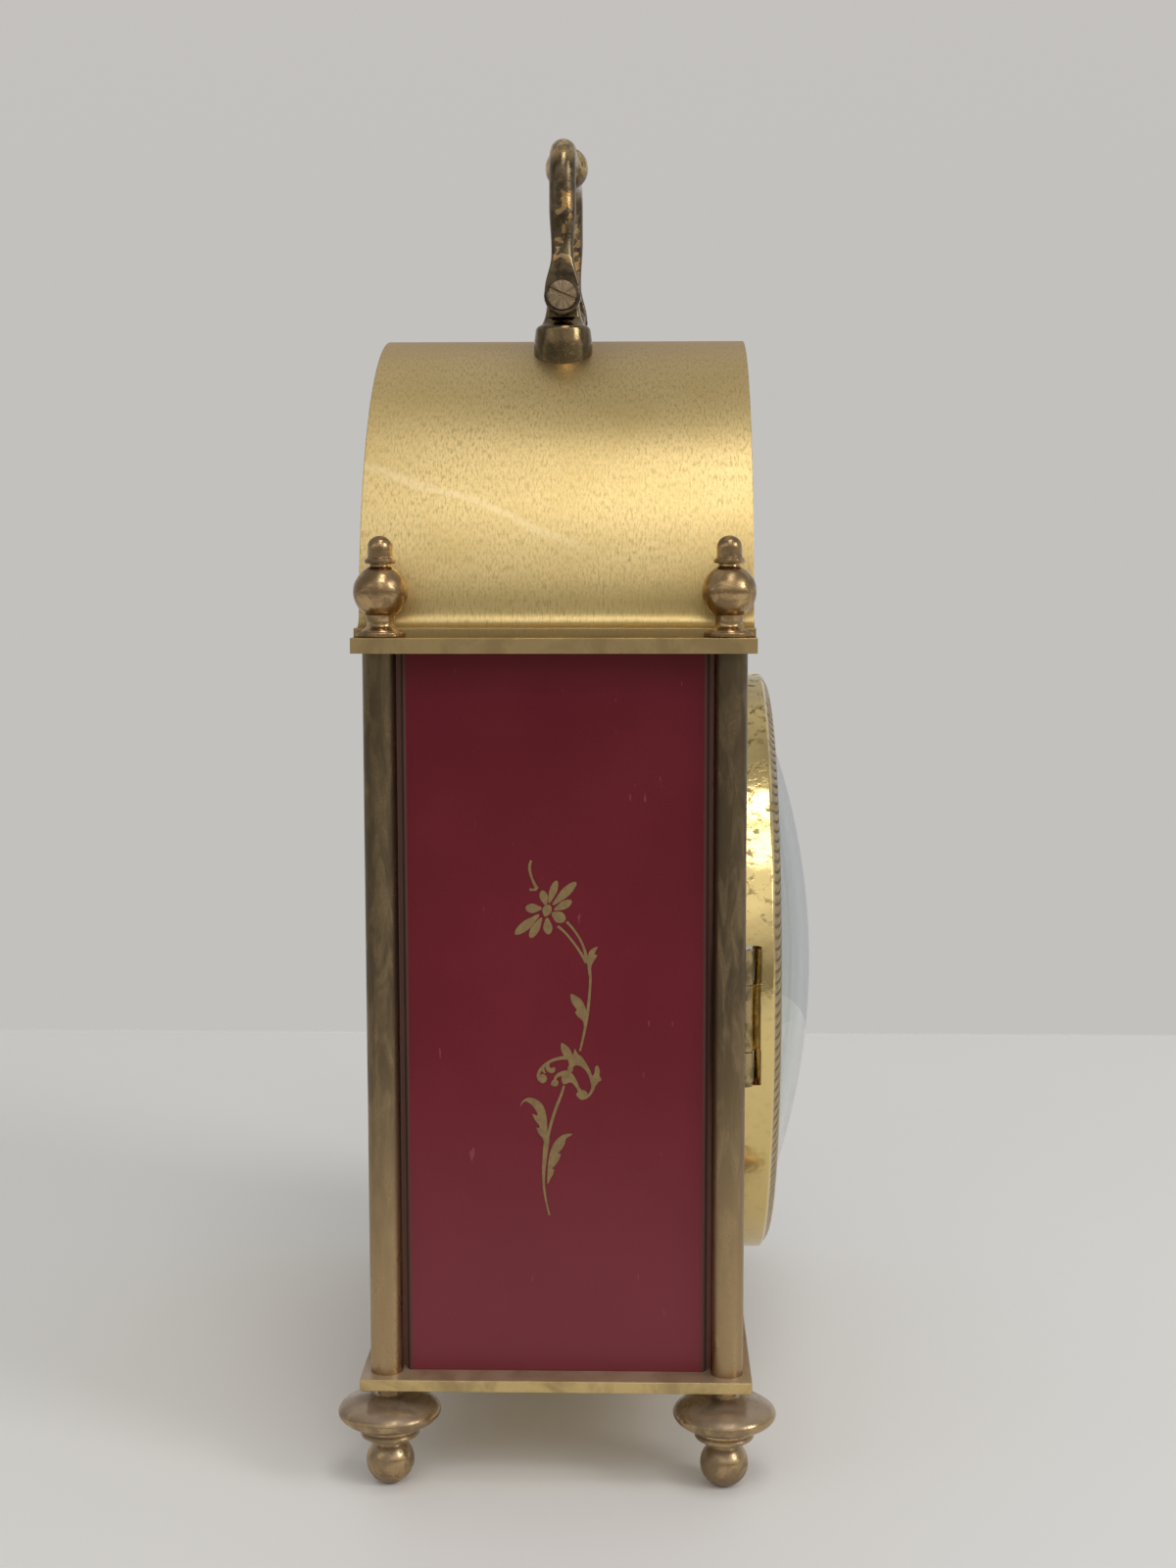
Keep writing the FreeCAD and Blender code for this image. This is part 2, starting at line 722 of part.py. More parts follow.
def build_side_panel(name, i):
    """A lacquered sheet, folded behind the columns to carry the front panel and rear cover."""
    outer = side_panel_half_width
    inner = outer - s.sheet_thickness
    deep = side_panel_half_depth
    fold = s.sheet_thickness / 2
    lip_back = panel_back - s.sheet_thickness
    half = [
        (outer, deep),
        (bevel_foot_half_width, panel_back),
        (lip_half_width, panel_back),
        (lip_half_width, lip_back),
        (bevel_foot_half_width - fold, lip_back),
        (inner, deep - fold),
    ]
    path = [(x * i, y) for x, y in half] + [(x * i, -y) for x, y in reversed(half)]
    loop = (path[0], [(point,) for point in path[1:]])
    piece(padded(name + "_body", "XY_Plane", column_length, [loop]), name, 0, 0, base_top)


def cover_screw_places():
    low = s.cover_screw_rise
    return [(cover_screw_across * i, z) for i in (-1, 1) for z in (low, column_length - low)]


def build_front_panel():
    half = front_panel_half_width
    outline = rectangle(-half, as_size(0), half, column_length)
    rings = [
        ((0, dial_height - base_top), s.panel_centre_hole_radius),
        ((0, barrel_at[1] - base_top), s.winding_hole_radius),
    ]
    body = padded("front_panel_body", "XZ_Plane", s.sheet_thickness, [outline], rings)
    piece(body, "front_panel", 0, -panel_back, base_top)


def build_rear_cover():
    half = front_panel_half_width
    outline = rectangle(-half, as_size(0), half, column_length)
    rings = [(place, s.cover_screw_shank_radius + s.stud_play) for place in cover_screw_places()]
    rings.append(((balance_at[0], balance_at[1] - base_top + s.index_length), s.regulator_hole_radius))
    body = padded("rear_cover_body", "XZ_Plane", s.sheet_thickness, [outline], rings)
    piece(body, "rear_cover", 0, front_panel_reach, base_top)
    screws = []
    for number, (x, z) in enumerate(cover_screw_places(), start=1):
        name = "cover_screw_%d" % number
        head = rod(
            name + "_head", s.cover_screw_head_radius, s.cover_screw_head_height,
            (x, s.cover_screw_head_height, z), FORWARD,
        )
        shank = rod(
            name + "_shank", s.cover_screw_shank_radius, s.sheet_thickness - s.stud_play, (x, 0, z), FORWARD
        )
        slot = block(
            name + "_slot", s.cover_screw_head_radius * 2, s.screw_slot_depth, s.screw_slot_width,
            (
                x - s.cover_screw_head_radius,
                s.cover_screw_head_height - s.screw_slot_depth,
                z - s.screw_slot_width / 2,
            ),
        )
        screws.append(cut(name, fused(name + "_turned", head, shank), slot))
    group = doc.addObject("Part::Compound", "cover_screws")
    group.Links = screws
    piece(group, "rear_cover_screws", 0, front_panel_reach, base_top)


def build_arched_top():
    """The bent sheet over the case, notched round the finials, and its two end panels."""
    radius = vault_radius
    inner = radius - s.vault_thickness
    reach = vault_flange_reach
    across = radius * cosine(s.vault_flare_angle)
    up = vault_z + radius * sine(s.vault_flare_angle)
    inner_across = inner * cosine(s.vault_flare_angle)
    inner_up = vault_z + inner * sine(s.vault_flare_angle)
    middle = (as_size(0), vault_z)
    right = (flare_x, flare_z)
    left = (-flare_x, flare_z)
    steps = [
        ((across, up), right, -1),
        ((-across, up), middle, 1),
        ((-reach, flare_z - flare_tip), left, -1),
        ((-reach, as_size(0)),),
        ((-inner_across, inner_up), left, 1),
        ((inner_across, inner_up), middle, -1),
        ((reach, as_size(0)), right, 1),
    ]
    bent = padded("vault_bent", "XZ_Plane", vault_length, [((reach, flare_z - flare_tip), steps)])
    bent.setExpression("Placement.Base.y", (vault_length / 2).text)
    notch_radius = s.finial_base_radius + s.small_gap
    notches = fused("vault_notches", *[
        rod(place + "_notch", notch_radius, finial_ball_middle, (column_x * i, column_y * j, 0))
        for place, i, j in CORNERS
    ])
    piece(cut("vault_notched", bent, notches), "arched_top", 0, 0, plate_top)
    end = inner - s.arch_panel_gap
    foot = root(end * end - vault_z * vault_z)
    arch = ((foot, as_size(0)), [((-foot, as_size(0)), middle, 1)])
    recess = vault_length / 2 - s.arch_panel_recess
    for name, y in (("front_arch_panel", s.sheet_thickness - recess), ("rear_arch_panel", recess)):
        piece(padded(name + "_body", "XZ_Plane", s.sheet_thickness, [arch]), name, 0, y, plate_top)


def build_handle_post(name, i):
    """A turned bell-shaped foot, cut to the arch below and milled flat for the handle's eye."""
    base_low = bail_pivot_height - vault_radius
    shoulder = s.post_base_radius - s.post_shoulder_radius
    base = rod(name + "_base", s.post_base_radius, post_base_height - shoulder * 2, (0, 0, 0))
    rounded = primitive(
        "Cone", name + "_shoulder", (0, 0, post_base_height - shoulder * 2),
        Radius1=s.post_base_radius, Radius2=s.post_shoulder_radius, Height=shoulder,
    )
    bell = primitive(
        "Cone", name + "_bell", (0, 0, post_base_height - shoulder),
        Radius1=s.post_shoulder_radius, Radius2=s.post_neck_radius,
        Height=bail_pivot_height - post_base_height + shoulder,
    )
    head = primitive("Sphere", name + "_head", (0, 0, bail_pivot_height), Radius=s.post_neck_radius)
    turned = fused(name + "_turned", base, rounded, bell, head)
    turned.setExpression("Placement.Base.x", (s.post_half_span * i).text)
    vault = rod(
        name + "_vault", vault_radius, s.plate_depth, (0, s.plate_depth / 2, plate_top + vault_z), FORWARD
    )
    floor = block(
        name + "_floor", s.plate_width, s.plate_depth, plate_top,
        (-s.plate_width / 2, -s.plate_depth / 2, 0),
    )
    flat_start = post_flat_reach if i > 0 else -(post_flat_reach + base_low)
    flat = block(
        name + "_flat", base_low, s.plate_depth, base_low,
        (flat_start, -s.plate_depth / 2, bail_pivot_height - s.bail_eye_radius - s.small_gap),
    )
    bore_length = s.handle_screw_length + s.stud_play
    bore_start = post_flat_reach - bore_length if i > 0 else -post_flat_reach
    bore = rod(
        name + "_bore", s.handle_screw_radius + s.stud_play, bore_length,
        (bore_start, 0, bail_pivot_height), SIDEWAYS,
    )
    away = fused(name + "_away", vault, floor, flat, bore)
    piece(cut(name + "_solid", turned, away), name)


def build_handle_screws():
    """Two slotted screws: each one holds an eye of the handle against its post."""
    seat = post_flat_reach + s.bail_eye_thickness + s.bail_side_play * 2
    tip = post_flat_reach - s.handle_screw_length
    screws = []
    for name, i in (("left_handle_screw", -1), ("right_handle_screw", 1)):
        shank_start = tip if i > 0 else -seat
        head_start = seat if i > 0 else -(seat + s.handle_screw_head_height)
        shank = rod(name + "_shank", s.handle_screw_radius, seat - tip, (shank_start, 0, 0), SIDEWAYS)
        head = rod(
            name + "_head", s.handle_screw_head_radius, s.handle_screw_head_height,
            (head_start, 0, 0), SIDEWAYS,
        )
        deep = s.screw_slot_depth
        face = seat + s.handle_screw_head_height
        slot_start = face - deep if i > 0 else -face
        slot = block(
            name + "_slot", deep, s.handle_screw_head_radius * 2, s.screw_slot_width,
            (slot_start, -s.handle_screw_head_radius, -s.screw_slot_width / 2),
        )
        screws.append(cut(name, fused(name + "_turned", shank, head), slot))
    group = doc.addObject("Part::Compound", "handle_screw_pair")
    group.Links = screws
    piece(group, "handle_screws", 0, 0, bail_pivot_height)


def drawn(name, label, shape, x=0, y=0, z=0):
    """A sub-part whose shape is worked out here from the sheet's values, then set down."""
    obj = doc.addObject("Part::Feature", name)
    obj.Shape = shape
    return piece(obj, label, x, y, z)


def oval(x, z, half_thickness, half_width):
    """A level ellipse, half_width deep and half_thickness across."""
    curve = Part.Ellipse(
        Vector(x, half_width, z), Vector(x - half_thickness, 0, z), Vector(x, 0, z)
    )
    return Part.Wire(curve.toShape())


def build_bail():
    """The carrying handle: two eyes, two waisted legs, rounded corners and a ball in the grip."""
    eye_middle = post_flat_reach.value + s.bail_side_play.value + s.bail_eye_thickness.value / 2
    rise = s.bail_rise.value
    bar = s.bail_bar_radius.value
    bend = s.bail_bend_radius.value
    leg_top = rise - bend
    leg_x = eye_middle - s.bail_leg_lean.value
    thin = s.bail_eye_thickness.value / 2
    waist = s.bail_waist_half_width.value
    waist_thick = s.bail_waist_half_thickness.value
    height_shares = (0.04, 0.16, 0.33, 0.58, 0.8, 1.0)
    lean_shares = (0.0, 0.0, 0.15, 0.55, 0.9, 1.0)
    half_widths = (s.bail_eye_radius.value * 0.93, (s.bail_eye_radius.value + waist) / 2, waist,
                   (waist + bar) / 2, bar, bar)
    half_thicks = (thin, thin, waist_thick, (waist_thick + bar) / 2, bar * 0.95, bar)
    solids = []
    for i in (-1, 1):
        eye = Part.makeCylinder(
            s.bail_eye_radius.value, s.bail_eye_thickness.value,
            Vector(i * eye_middle - thin, 0, 0), Vector(1, 0, 0),
        )
        sections = [
            oval(i * (eye_middle - lean * s.bail_leg_lean.value), share * leg_top, thick, wide)
            for share, lean, wide, thick in zip(height_shares, lean_shares, half_widths, half_thicks)
        ]
        leg = Part.makeLoft(sections, True)
        ring = Part.Circle(Vector(i * leg_x, 0, leg_top), Vector(0, 0, 1), bar)
        face = Part.Face(Part.Wire(ring.toShape()))
        turn_middle = Vector(i * (leg_x - bend), 0, leg_top)
        corner = face.revolve(turn_middle, Vector(0, -i, 0), 90)
        grip = Part.makeCylinder(bar, leg_x - bend, Vector(0, 0, rise), Vector(i, 0, 0))
        solids += [eye, leg, corner, grip]
    knob = Part.makeSphere(s.bail_knob_radius.value, Vector(0, 0, rise))
    shape = solids[0].multiFuse(solids[1:] + [knob]).removeSplitter()
    reach = eye_middle * 2
    bore = Part.makeCylinder(
        s.handle_screw_radius.value + s.running_play.value, reach * 2, Vector(-reach, 0, 0), Vector(1, 0, 0)
    )
    drawn("bail_shape", "bail_handle", shape.cut(bore), 0, 0, bail_pivot_height)


def build_bezel():
    """The rope-edged ring, cut away at the hinge."""
    start = (bezel_radius, -bezel_back)
    steps = [
        ((bezel_radius, -(front_panel_reach + s.bezel_drum_rise)),),
        ((bezel_radius - s.bezel_bevel_inset, -(front_panel_reach + s.bezel_bevel_rise)),),
        ((bezel_radius - s.bezel_crest_inset, -(front_panel_reach + s.bezel_crest_rise)),),
        ((bezel_radius - s.bezel_groove_inset, -(front_panel_reach + s.bezel_groove_rise)),),
        ((bezel_opening_radius, -(front_panel_reach + s.bezel_lip_rise)),),
        ((bezel_opening_radius, -lip_back),),
        ((bezel_radius - s.bezel_seat_inset, -lip_back),),
        ((bezel_radius - s.bezel_seat_inset, -(front_panel_reach + s.bezel_seat_rise)),),
        ((wall_inner, -(front_panel_reach + s.bezel_seat_rise)),),
        ((wall_inner, -bezel_back),),
    ]
    ring = revolved("bezel_turned", [(start, steps)])
    half = s.hinge_half_length + s.hinge_slot_play
    middle = s.hinge_middle_half_length + s.hinge_end_play / 2
    deep = hinge_slot_front - bezel_back + s.overrun
    left = -bezel_radius - s.bezel_wall
    across = s.bezel_wall * 4
    seat = block("hinge_seat", across, deep, middle * 2, (left, -hinge_slot_front, -middle))
    ends = [
        block(
            name, across, deep + s.small_gap, half - middle,
            (left, -hinge_slot_front - s.small_gap, low),
        )
        for name, low in (("upper_slot", middle), ("lower_slot", -half))
    ]
    slot = fused("hinge_slot", seat, *ends)
    piece(cut("bezel_slotted", ring, slot), "bezel_ring", 0, 0, dial_height)


def build_glass():
    """A domed glass: two balls, one inside the other, trimmed round and cut off behind."""
    outer = primitive("Sphere", "glass_outer", (0, glass_middle, 0), Radius=glass_ball)
    inner = primitive("Sphere", "glass_inner", (0, glass_middle, 0), Radius=glass_hollow)
    shell = cut("glass_shell", outer, inner)
    trim_back = front_panel_reach + s.glass_edge_rise - s.glass_thickness * 2
    trim = rod(
        "glass_trim", glass_radius, glass_front + s.overrun - trim_back, (0, -trim_back, 0), FORWARD
    )
    piece(common("glass_dome", shell, trim), "domed_glass", 0, 0, dial_height)


def build_retainer():
    """The ring that keeps the glass in its seat."""
    outer = rod("retainer_disc", wall_inner, s.retainer_thickness, (0, 0, 0), FORWARD)
    hole = rod(
        "retainer_hole", bezel_radius - s.retainer_inset, s.retainer_thickness + s.overrun * 2,
        (0, s.overrun, 0), FORWARD,
    )
    ring = cut("retainer_cut", outer, hole)
    back = retainer_front - s.retainer_thickness
    piece(ring, "glass_retainer", 0, -back, dial_height)


def knuckle(name, low, high):
    """A hinge knuckle about the pin, from low to high about the dial's middle."""
    barrel = rod(name + "_barrel", s.hinge_barrel_radius, high - low, (0, 0, low))
    bore = rod(name + "_bore", s.hinge_pin_radius + s.running_play, high - low, (0, 0, low))
    return barrel, bore


def build_hinge():
    """Two leaves and a pin. The middle knuckle is the bezel's, and the end ones the case's."""
    middle = s.hinge_middle_half_length
    end = s.hinge_half_length
    play = s.hinge_end_play
    leaf = s.hinge_leaf_thickness
    axis_y = -hinge_axis_reach
    barrel, bore = knuckle("moving_knuckle", -middle, middle)
    plate_x = hinge_axis_across - moving_leaf_across - leaf
    web_front = s.hinge_barrel_radius
    web = block(
        "moving_web", plate_x + leaf - s.hinge_pin_radius, leaf, middle * 2,
        (s.hinge_pin_radius, -web_front, -middle),
    )
    flap = block(
        "moving_flap", leaf, web_front + hinge_axis_reach - moving_leaf_back, middle * 2,
        (plate_x, -web_front, -middle),
    )
    solid = cut("moving_leaf_solid", fused("moving_leaf_joined", barrel, web, flap), bore)
    piece(solid, "bezel_hinge_leaf", -hinge_axis_across, axis_y, dial_height)

    parts = []
    bores = []
    for name, low, high in (
        ("upper_knuckle", middle + play, end),
        ("lower_knuckle", -end, -(middle + play)),
    ):
        barrel, bore = knuckle(name, low, high)
        web = block(
            name + "_web", leaf, hinge_axis_reach - front_panel_reach, high - low,
            (-leaf - s.hinge_pin_radius / 2, 0, low),
        )
        parts += [barrel, web]
        bores.append(bore)
    depth = hinge_axis_reach - front_panel_reach
    width = hinge_axis_across - fixed_leaf_inner + leaf + s.hinge_pin_radius / 2
    parts.append(block(
        "fixed_flap", width, leaf, end * 2, (-leaf - s.hinge_pin_radius / 2, depth - leaf, -end)
    ))
    joined = fused("fixed_leaf_joined", *parts)
    solid = cut("fixed_leaf_solid", joined, fused("fixed_bores", *bores))
    piece(solid, "case_hinge_leaf", -hinge_axis_across, axis_y, dial_height)
    pin = rod("hinge_pin_rod", s.hinge_pin_radius, end * 2 + play * 2, (0, 0, 0))
    piece(pin, "hinge_pin", -hinge_axis_across, axis_y, dial_height - end - play)


def build_catch():
    """A sprung tongue on the front panel that the closed bezel snaps over."""
    half = s.catch_half_height
    tongue = block(
        "catch_tongue", s.catch_thickness, s.catch_length, half * 2, (catch_across, -s.catch_length, -half)
    )
    foot = block(
        "catch_foot", catch_across + s.catch_thickness - catch_foot_inner, s.catch_foot_thickness,
        half * 2, (catch_foot_inner, -s.catch_foot_thickness, -half),
    )
    piece(fused("catch_joined", tongue, foot), "bezel_catch", 0, -front_panel_reach, dial_height)


def build_dial():
    disc = rod("dial_disc", dial_radius, s.dial_thickness, (0, 0, 0), FORWARD)
    centre = rod(
        "dial_centre_hole", s.dial_centre_hole_radius, s.dial_thickness + s.overrun * 2,
        (0, s.overrun, 0), FORWARD,
    )
    winding = rod(
        "dial_winding_hole", s.winding_hole_radius, s.dial_thickness + s.overrun * 2,
        (0, s.overrun, -barrel_drop), FORWARD,
    )
    holes = fused("dial_holes", centre, winding)
    piece(cut("dial_cut", disc, holes), "dial_plate", 0, -front_panel_reach, dial_height)


def polygon(points, thickness):
    """A flat plate in the dial's plane, grown forward from y = 0."""
    corners = [Vector(x, 0, z) for x, z in points]
    face = Part.Face(Part.makePolygon(corners + corners[:1]))
    return face.extrude(Vector(0, -thickness, 0))


def bar(radius, length, back=0.0, x=0.0, z=0.0):
    """A round bar along the depth, grown forward from the named back."""
    return Part.makeCylinder(radius, length, Vector(x, -back, z), Vector(0, -1, 0))


def spade(length, half_width, leaf_half_width, leaf_share, tail, thickness, turn):
    """A spade hand's blade and tail, pointing up before it is turned about the centre."""
    leaf = length * leaf_share
    shank = [(half_width, -tail), (half_width * 0.7, leaf), (-half_width * 0.7, leaf), (-half_width, -tail)]
    blade = polygon(shank, thickness)
    top = leaf + leaf_half_width * 0.9
    for side in (-1, 1):
        lobe = bar(leaf_half_width * 0.62, thickness, 0.0, side * leaf_half_width * 0.42, top)
        blade = blade.fuse(lobe)
    wide = leaf_half_width * 0.97
    tip = [(wide, top + leaf_half_width * 0.2), (half_width * 0.35, length), (-half_width * 0.35, length),
           (-wide, top + leaf_half_width * 0.2), (-leaf_half_width * 0.3, leaf), (leaf_half_width * 0.3, leaf)]
    blade = blade.fuse(polygon(tip, thickness)).removeSplitter()
    blade.rotate(Vector(), Vector(0, 1, 0), turn)
    return blade


HOUR_HAND_TURN = -55.5
MINUTE_HAND_TURN = 54.0


def build_hands():
    """The two spade hands, set at nine minutes past ten, and the nut that holds them."""
    thick = s.hand_thickness.value
    pipe = cannon_pipe_radius()
    hour = spade(
        hour_hand_length.value, s.hour_hand_half_width.value, s.spade_half_width.value,
        0.5, 0.0, thick, HOUR_HAND_TURN,
    )
    hour = hour.fuse(bar(s.hour_boss_radius.value, thick))
    hour = hour.cut(bar(hour_pipe_radius(), thick * 3, -thick))
    drawn("hour_hand_shape", "hour_hand", hour.removeSplitter(), 0, -hour_hand_back, dial_height)
    minute = spade(
        minute_hand_length.value, s.minute_hand_half_width.value, s.spade_half_width.value * 0.8,
        0.62, s.hand_tail_length.value, thick, MINUTE_HAND_TURN,
    )
    minute = minute.fuse(bar(s.minute_boss_radius.value, thick))
    minute = minute.cut(bar(pipe, thick * 3, -thick))
    drawn("minute_hand_shape", "minute_hand", minute.removeSplitter(), 0, -minute_hand_back, dial_height)
    nut = bar(s.hand_nut_radius.value, s.hand_nut_height.value)
    nut = nut.cut(bar(s.arbor_radius.value, s.hand_nut_height.value * 3, -s.hand_nut_height.value))
    drawn("hand_nut_shape", "hand_nut", nut, 0, -hand_nut_back, dial_height)


def cannon_pipe_radius():
    return s.arbor_radius.value + s.pipe_wall.value


def hour_pipe_radius():
    return cannon_pipe_radius() + s.running_play.value + s.pipe_wall.value


def tooth_outline(teeth, module, phase, pinion):
    """Corners of a toothed disc. Each tooth is widest at its root and narrows to its tip."""
    pitch = teeth * module / 2
    if pinion:
        depth_shares = (-1.45, 0.0, 0.33, 0.55)
        width_shares = (0.80, 0.95, 0.80, 0.42)
    else:
        depth_shares = (-1.25, 0.0, 0.57, 0.95)
        width_shares = (1.30, 1.20, 0.78, 0.34)
    flank = [(pitch + deep * module, wide * module / 2) for deep, wide in zip(depth_shares, width_shares)]
    points = []
    for number in range(teeth):
        middle = phase + 2 * math.pi * number / teeth
        for radius, half in flank:
            angle = middle - half / radius
            points.append((radius * math.cos(angle), radius * math.sin(angle)))
        for radius, half in reversed(flank):
            angle = middle + half / radius
            points.append((radius * math.cos(angle), radius * math.sin(angle)))
    return points


def gear(teeth, module, thickness, back, phase=0.0, pinion=False):
    disc = polygon(tooth_outline(int(teeth), module, phase, pinion), thickness)
    disc.translate(Vector(0, -back, 0))
    return disc


def crossed_out(wheel, radius, back, thickness, arms=4):
    """Cut the windows between the arms of a wheel."""
    rim = radius * s.wheel_rim_share.value
    hub = max(radius * s.wheel_hub_share.value, s.arbor_radius.value * 2.5)
    if rim - hub < radius * 0.3:
        return wheel
    width = radius * 0.13
    ring = bar(rim, thickness * 3, back - thickness).cut(bar(hub, thickness * 3, back - thickness))
    for number in range(arms):
        arm = Part.makeBox(rim * 2, thickness * 5, width, Vector(0, -back - thickness * 3, -width / 2))
        arm.rotate(Vector(), Vector(0, 1, 0), 360.0 * number / arms + 45.0)
        ring = ring.cut(arm)
    return wheel.cut(ring)


def arbor(radius, front_end=True, rear_end=True):
    """An arbor between the plates, with a thinner pivot past each shoulder."""
    shake = s.end_shake.value
    front = movement_front_back.value - shake
    rear = movement_rear_front.value + shake
    shape = bar(radius, front - rear, rear)
    pivot = s.pivot_radius.value
    reach = s.movement_plate_thickness.value
    if front_end:
        shape = shape.fuse(bar(pivot, reach, front))
    if rear_end:
        shape = shape.fuse(bar(pivot, reach, rear - reach))
    return shape


def towards(start, end):
    """The direction from one arbor to another, in radians from +X up to +Z."""
    return math.atan2(end[1].value - start[1].value, end[0].value - start[0].value)


def gap_facing(direction, teeth):
    """The phase that turns a space between two teeth towards a direction."""
    return direction + math.pi / teeth


def train_wheel(name, label, at, radius, wheel, pinion, driver_at, driven_at):
    """A wheel and its pinion on one arbor, both in mesh with their neighbours."""
    thick = s.wheel_thickness.value
    shape = arbor(radius.value)
    teeth, module, back = wheel
    phase = towards(at, driven_at)
    disc = gear(teeth.value, module.value, thick, back.value, phase)
    disc = crossed_out(disc, teeth.value * module.value / 2, back.value, thick)
    shape = shape.fuse(disc)
    leaves, leaf_module, mate_back, mate_thick = pinion
    length = s.pinion_length.value
    low = mate_back.value + mate_thick.value / 2 - length / 2
    phase = gap_facing(towards(at, driver_at), leaves.value)
    shape = shape.fuse(gear(leaves.value, leaf_module.value, length, low, phase, True))
    drawn(name, label, shape.removeSplitter(), at[0], 0, at[1])


def build_train():
    """The going train, from the barrel's first pinion to the escape wheel's."""
    thick = s.wheel_thickness
    train_wheel(
        "intermediate_shape", "intermediate_wheel", intermediate_at, s.arbor_radius,
        (s.intermediate_teeth, s.intermediate_module, intermediate_back),
        (s.barrel_pinion_leaves, s.barrel_module, great_wheel_back, s.great_wheel_thickness),
        barrel_at, centre_at,
    )
    train_wheel(
        "third_shape", "third_wheel", third_at, s.arbor_radius,
        (s.third_teeth, s.third_module, third_wheel_back),
        (s.centre_pinion_leaves, s.centre_module, centre_wheel_back, thick),
        centre_at, fourth_at,
    )
    train_wheel(
        "fourth_shape", "fourth_wheel", fourth_at, s.fine_arbor_radius,
        (s.fourth_teeth, s.fourth_module, fourth_wheel_back),
        (s.third_pinion_leaves, s.third_module, third_wheel_back, thick),
        third_at, escape_at,
    )
    build_centre_wheel()
    build_escape_wheel()


def build_centre_wheel():
    """The centre arbor runs forward through the dial and carries the minute hand's pipe."""
    thick = s.wheel_thickness.value
    radius = s.arbor_radius.value
    shape = arbor(radius, False)
    front = movement_front_back.value - s.end_shake.value
    tip = hand_nut_back.value + s.hand_nut_height.value - s.end_shake.value
    shape = shape.fuse(bar(radius, tip - front, front))
    back = centre_wheel_back.value
    disc = gear(s.centre_teeth.value, s.centre_module.value, thick, back, towards(centre_at, third_at))
    disc = crossed_out(disc, s.centre_teeth.value * s.centre_module.value / 2, back, thick)
    length = s.pinion_length.value
    low = intermediate_back.value + thick / 2 - length / 2
    leaves = s.intermediate_pinion_leaves.value
    phase = gap_facing(towards(centre_at, intermediate_at), leaves)
    leaf = gear(leaves, s.intermediate_module.value, length, low, phase, True)
    shape = shape.fuse(disc).fuse(leaf).removeSplitter()
    drawn("centre_shape", "centre_wheel", shape, 0, 0, dial_height)


def build_escape_wheel():
    """Pointed teeth that lean forward, on an arbor with the last pinion."""
    thick = s.wheel_thickness.value * 0.7
    back = escape_wheel_back.value
    tip = s.escape_radius.value
    points = []
    teeth = int(s.escape_teeth.value)
    for number in range(teeth):
        middle = 2 * math.pi * number / teeth
        for radius_share, lead_share in ((0.72, -0.42), (0.72, 0.02), (1.0, 0.3), (1.0, 0.36)):
            angle = middle + lead_share * 2 * math.pi / teeth
            points.append((tip * radius_share * math.cos(angle), tip * radius_share * math.sin(angle)))
    disc = polygon(points, thick)
    disc.translate(Vector(0, -back, 0))
    length = s.pinion_length.value
    mate = fourth_wheel_back.value
    low = mate + s.wheel_thickness.value / 2 - length / 2
    leaves = s.fourth_pinion_leaves.value
    phase = gap_facing(towards(escape_at, fourth_at), leaves)
    leaf = gear(leaves, s.fourth_module.value, length, low, phase, True)
    shape = arbor(s.fine_arbor_radius.value).fuse(disc).fuse(leaf).removeSplitter()
    drawn("escape_shape", "escape_wheel", shape, escape_at[0], 0, escape_at[1])


def build_motion_work():
    """Cannon pinion, minute wheel and hour wheel, between the movement and the front panel."""
    thick = s.wheel_thickness.value
    play = s.running_play.value
    module = s.cannon_module.value
    leaves = s.cannon_leaves.value
    pipe = cannon_pipe_radius()
    back = cannon_back.value
    length = hour_wheel_back.value - s.small_gap.value - back
    phase = towards(centre_at, minute_wheel_at)
    cannon = gear(leaves, module, length, back, phase, True)
    cannon = cannon.fuse(bar(pipe, hand_nut_back.value - back, back))
    reach = hand_nut_back.value - back
    cannon = cannon.cut(bar(s.arbor_radius.value, reach * 2, back - reach / 2))
    drawn("cannon_shape", "cannon_pinion", cannon.removeSplitter(), 0, 0, dial_height)

    wheel_back = minute_wheel_back.value
    teeth = s.minute_wheel_teeth.value
    phase = gap_facing(towards(minute_wheel_at, centre_at), teeth)
    wheel = gear(teeth, module, thick, wheel_back, phase)
    hour_back = hour_wheel_back.value
    small = gear(
        s.hour_pinion_leaves.value, hour_module.value, hour_back + thick * 1.3 - wheel_back - thick,
        wheel_back + thick, towards(minute_wheel_at, centre_at), True,
    )
    wheel = wheel.fuse(small)
    wheel = wheel.cut(bar(s.arbor_radius.value + play, thick * 9, wheel_back - thick))
    drawn("minute_wheel_shape", "minute_wheel", wheel.removeSplitter(), minute_wheel_at[0], 0,
          minute_wheel_at[1])

    teeth = s.hour_wheel_teeth.value
    phase = gap_facing(towards(centre_at, minute_wheel_at), teeth)
    wheel = gear(teeth, hour_module.value, thick, hour_back, phase)
    pipe_end = hour_hand_back.value + s.hand_thickness.value
    wheel = wheel.fuse(bar(hour_pipe_radius(), pipe_end - hour_back, hour_back))
    wheel = wheel.cut(bar(pipe + play, pipe_end, hour_back - thick))
    drawn("hour_wheel_shape", "hour_wheel", wheel.removeSplitter(), 0, 0, dial_height)


def pillar_places():
    x = s.movement_half_width - s.pillar_edge_inset
    low = movement_bottom + s.pillar_edge_inset
    high = movement_top - s.pillar_edge_inset
    return [(x * i, z) for i in (-1, 1) for z in (low, high)]


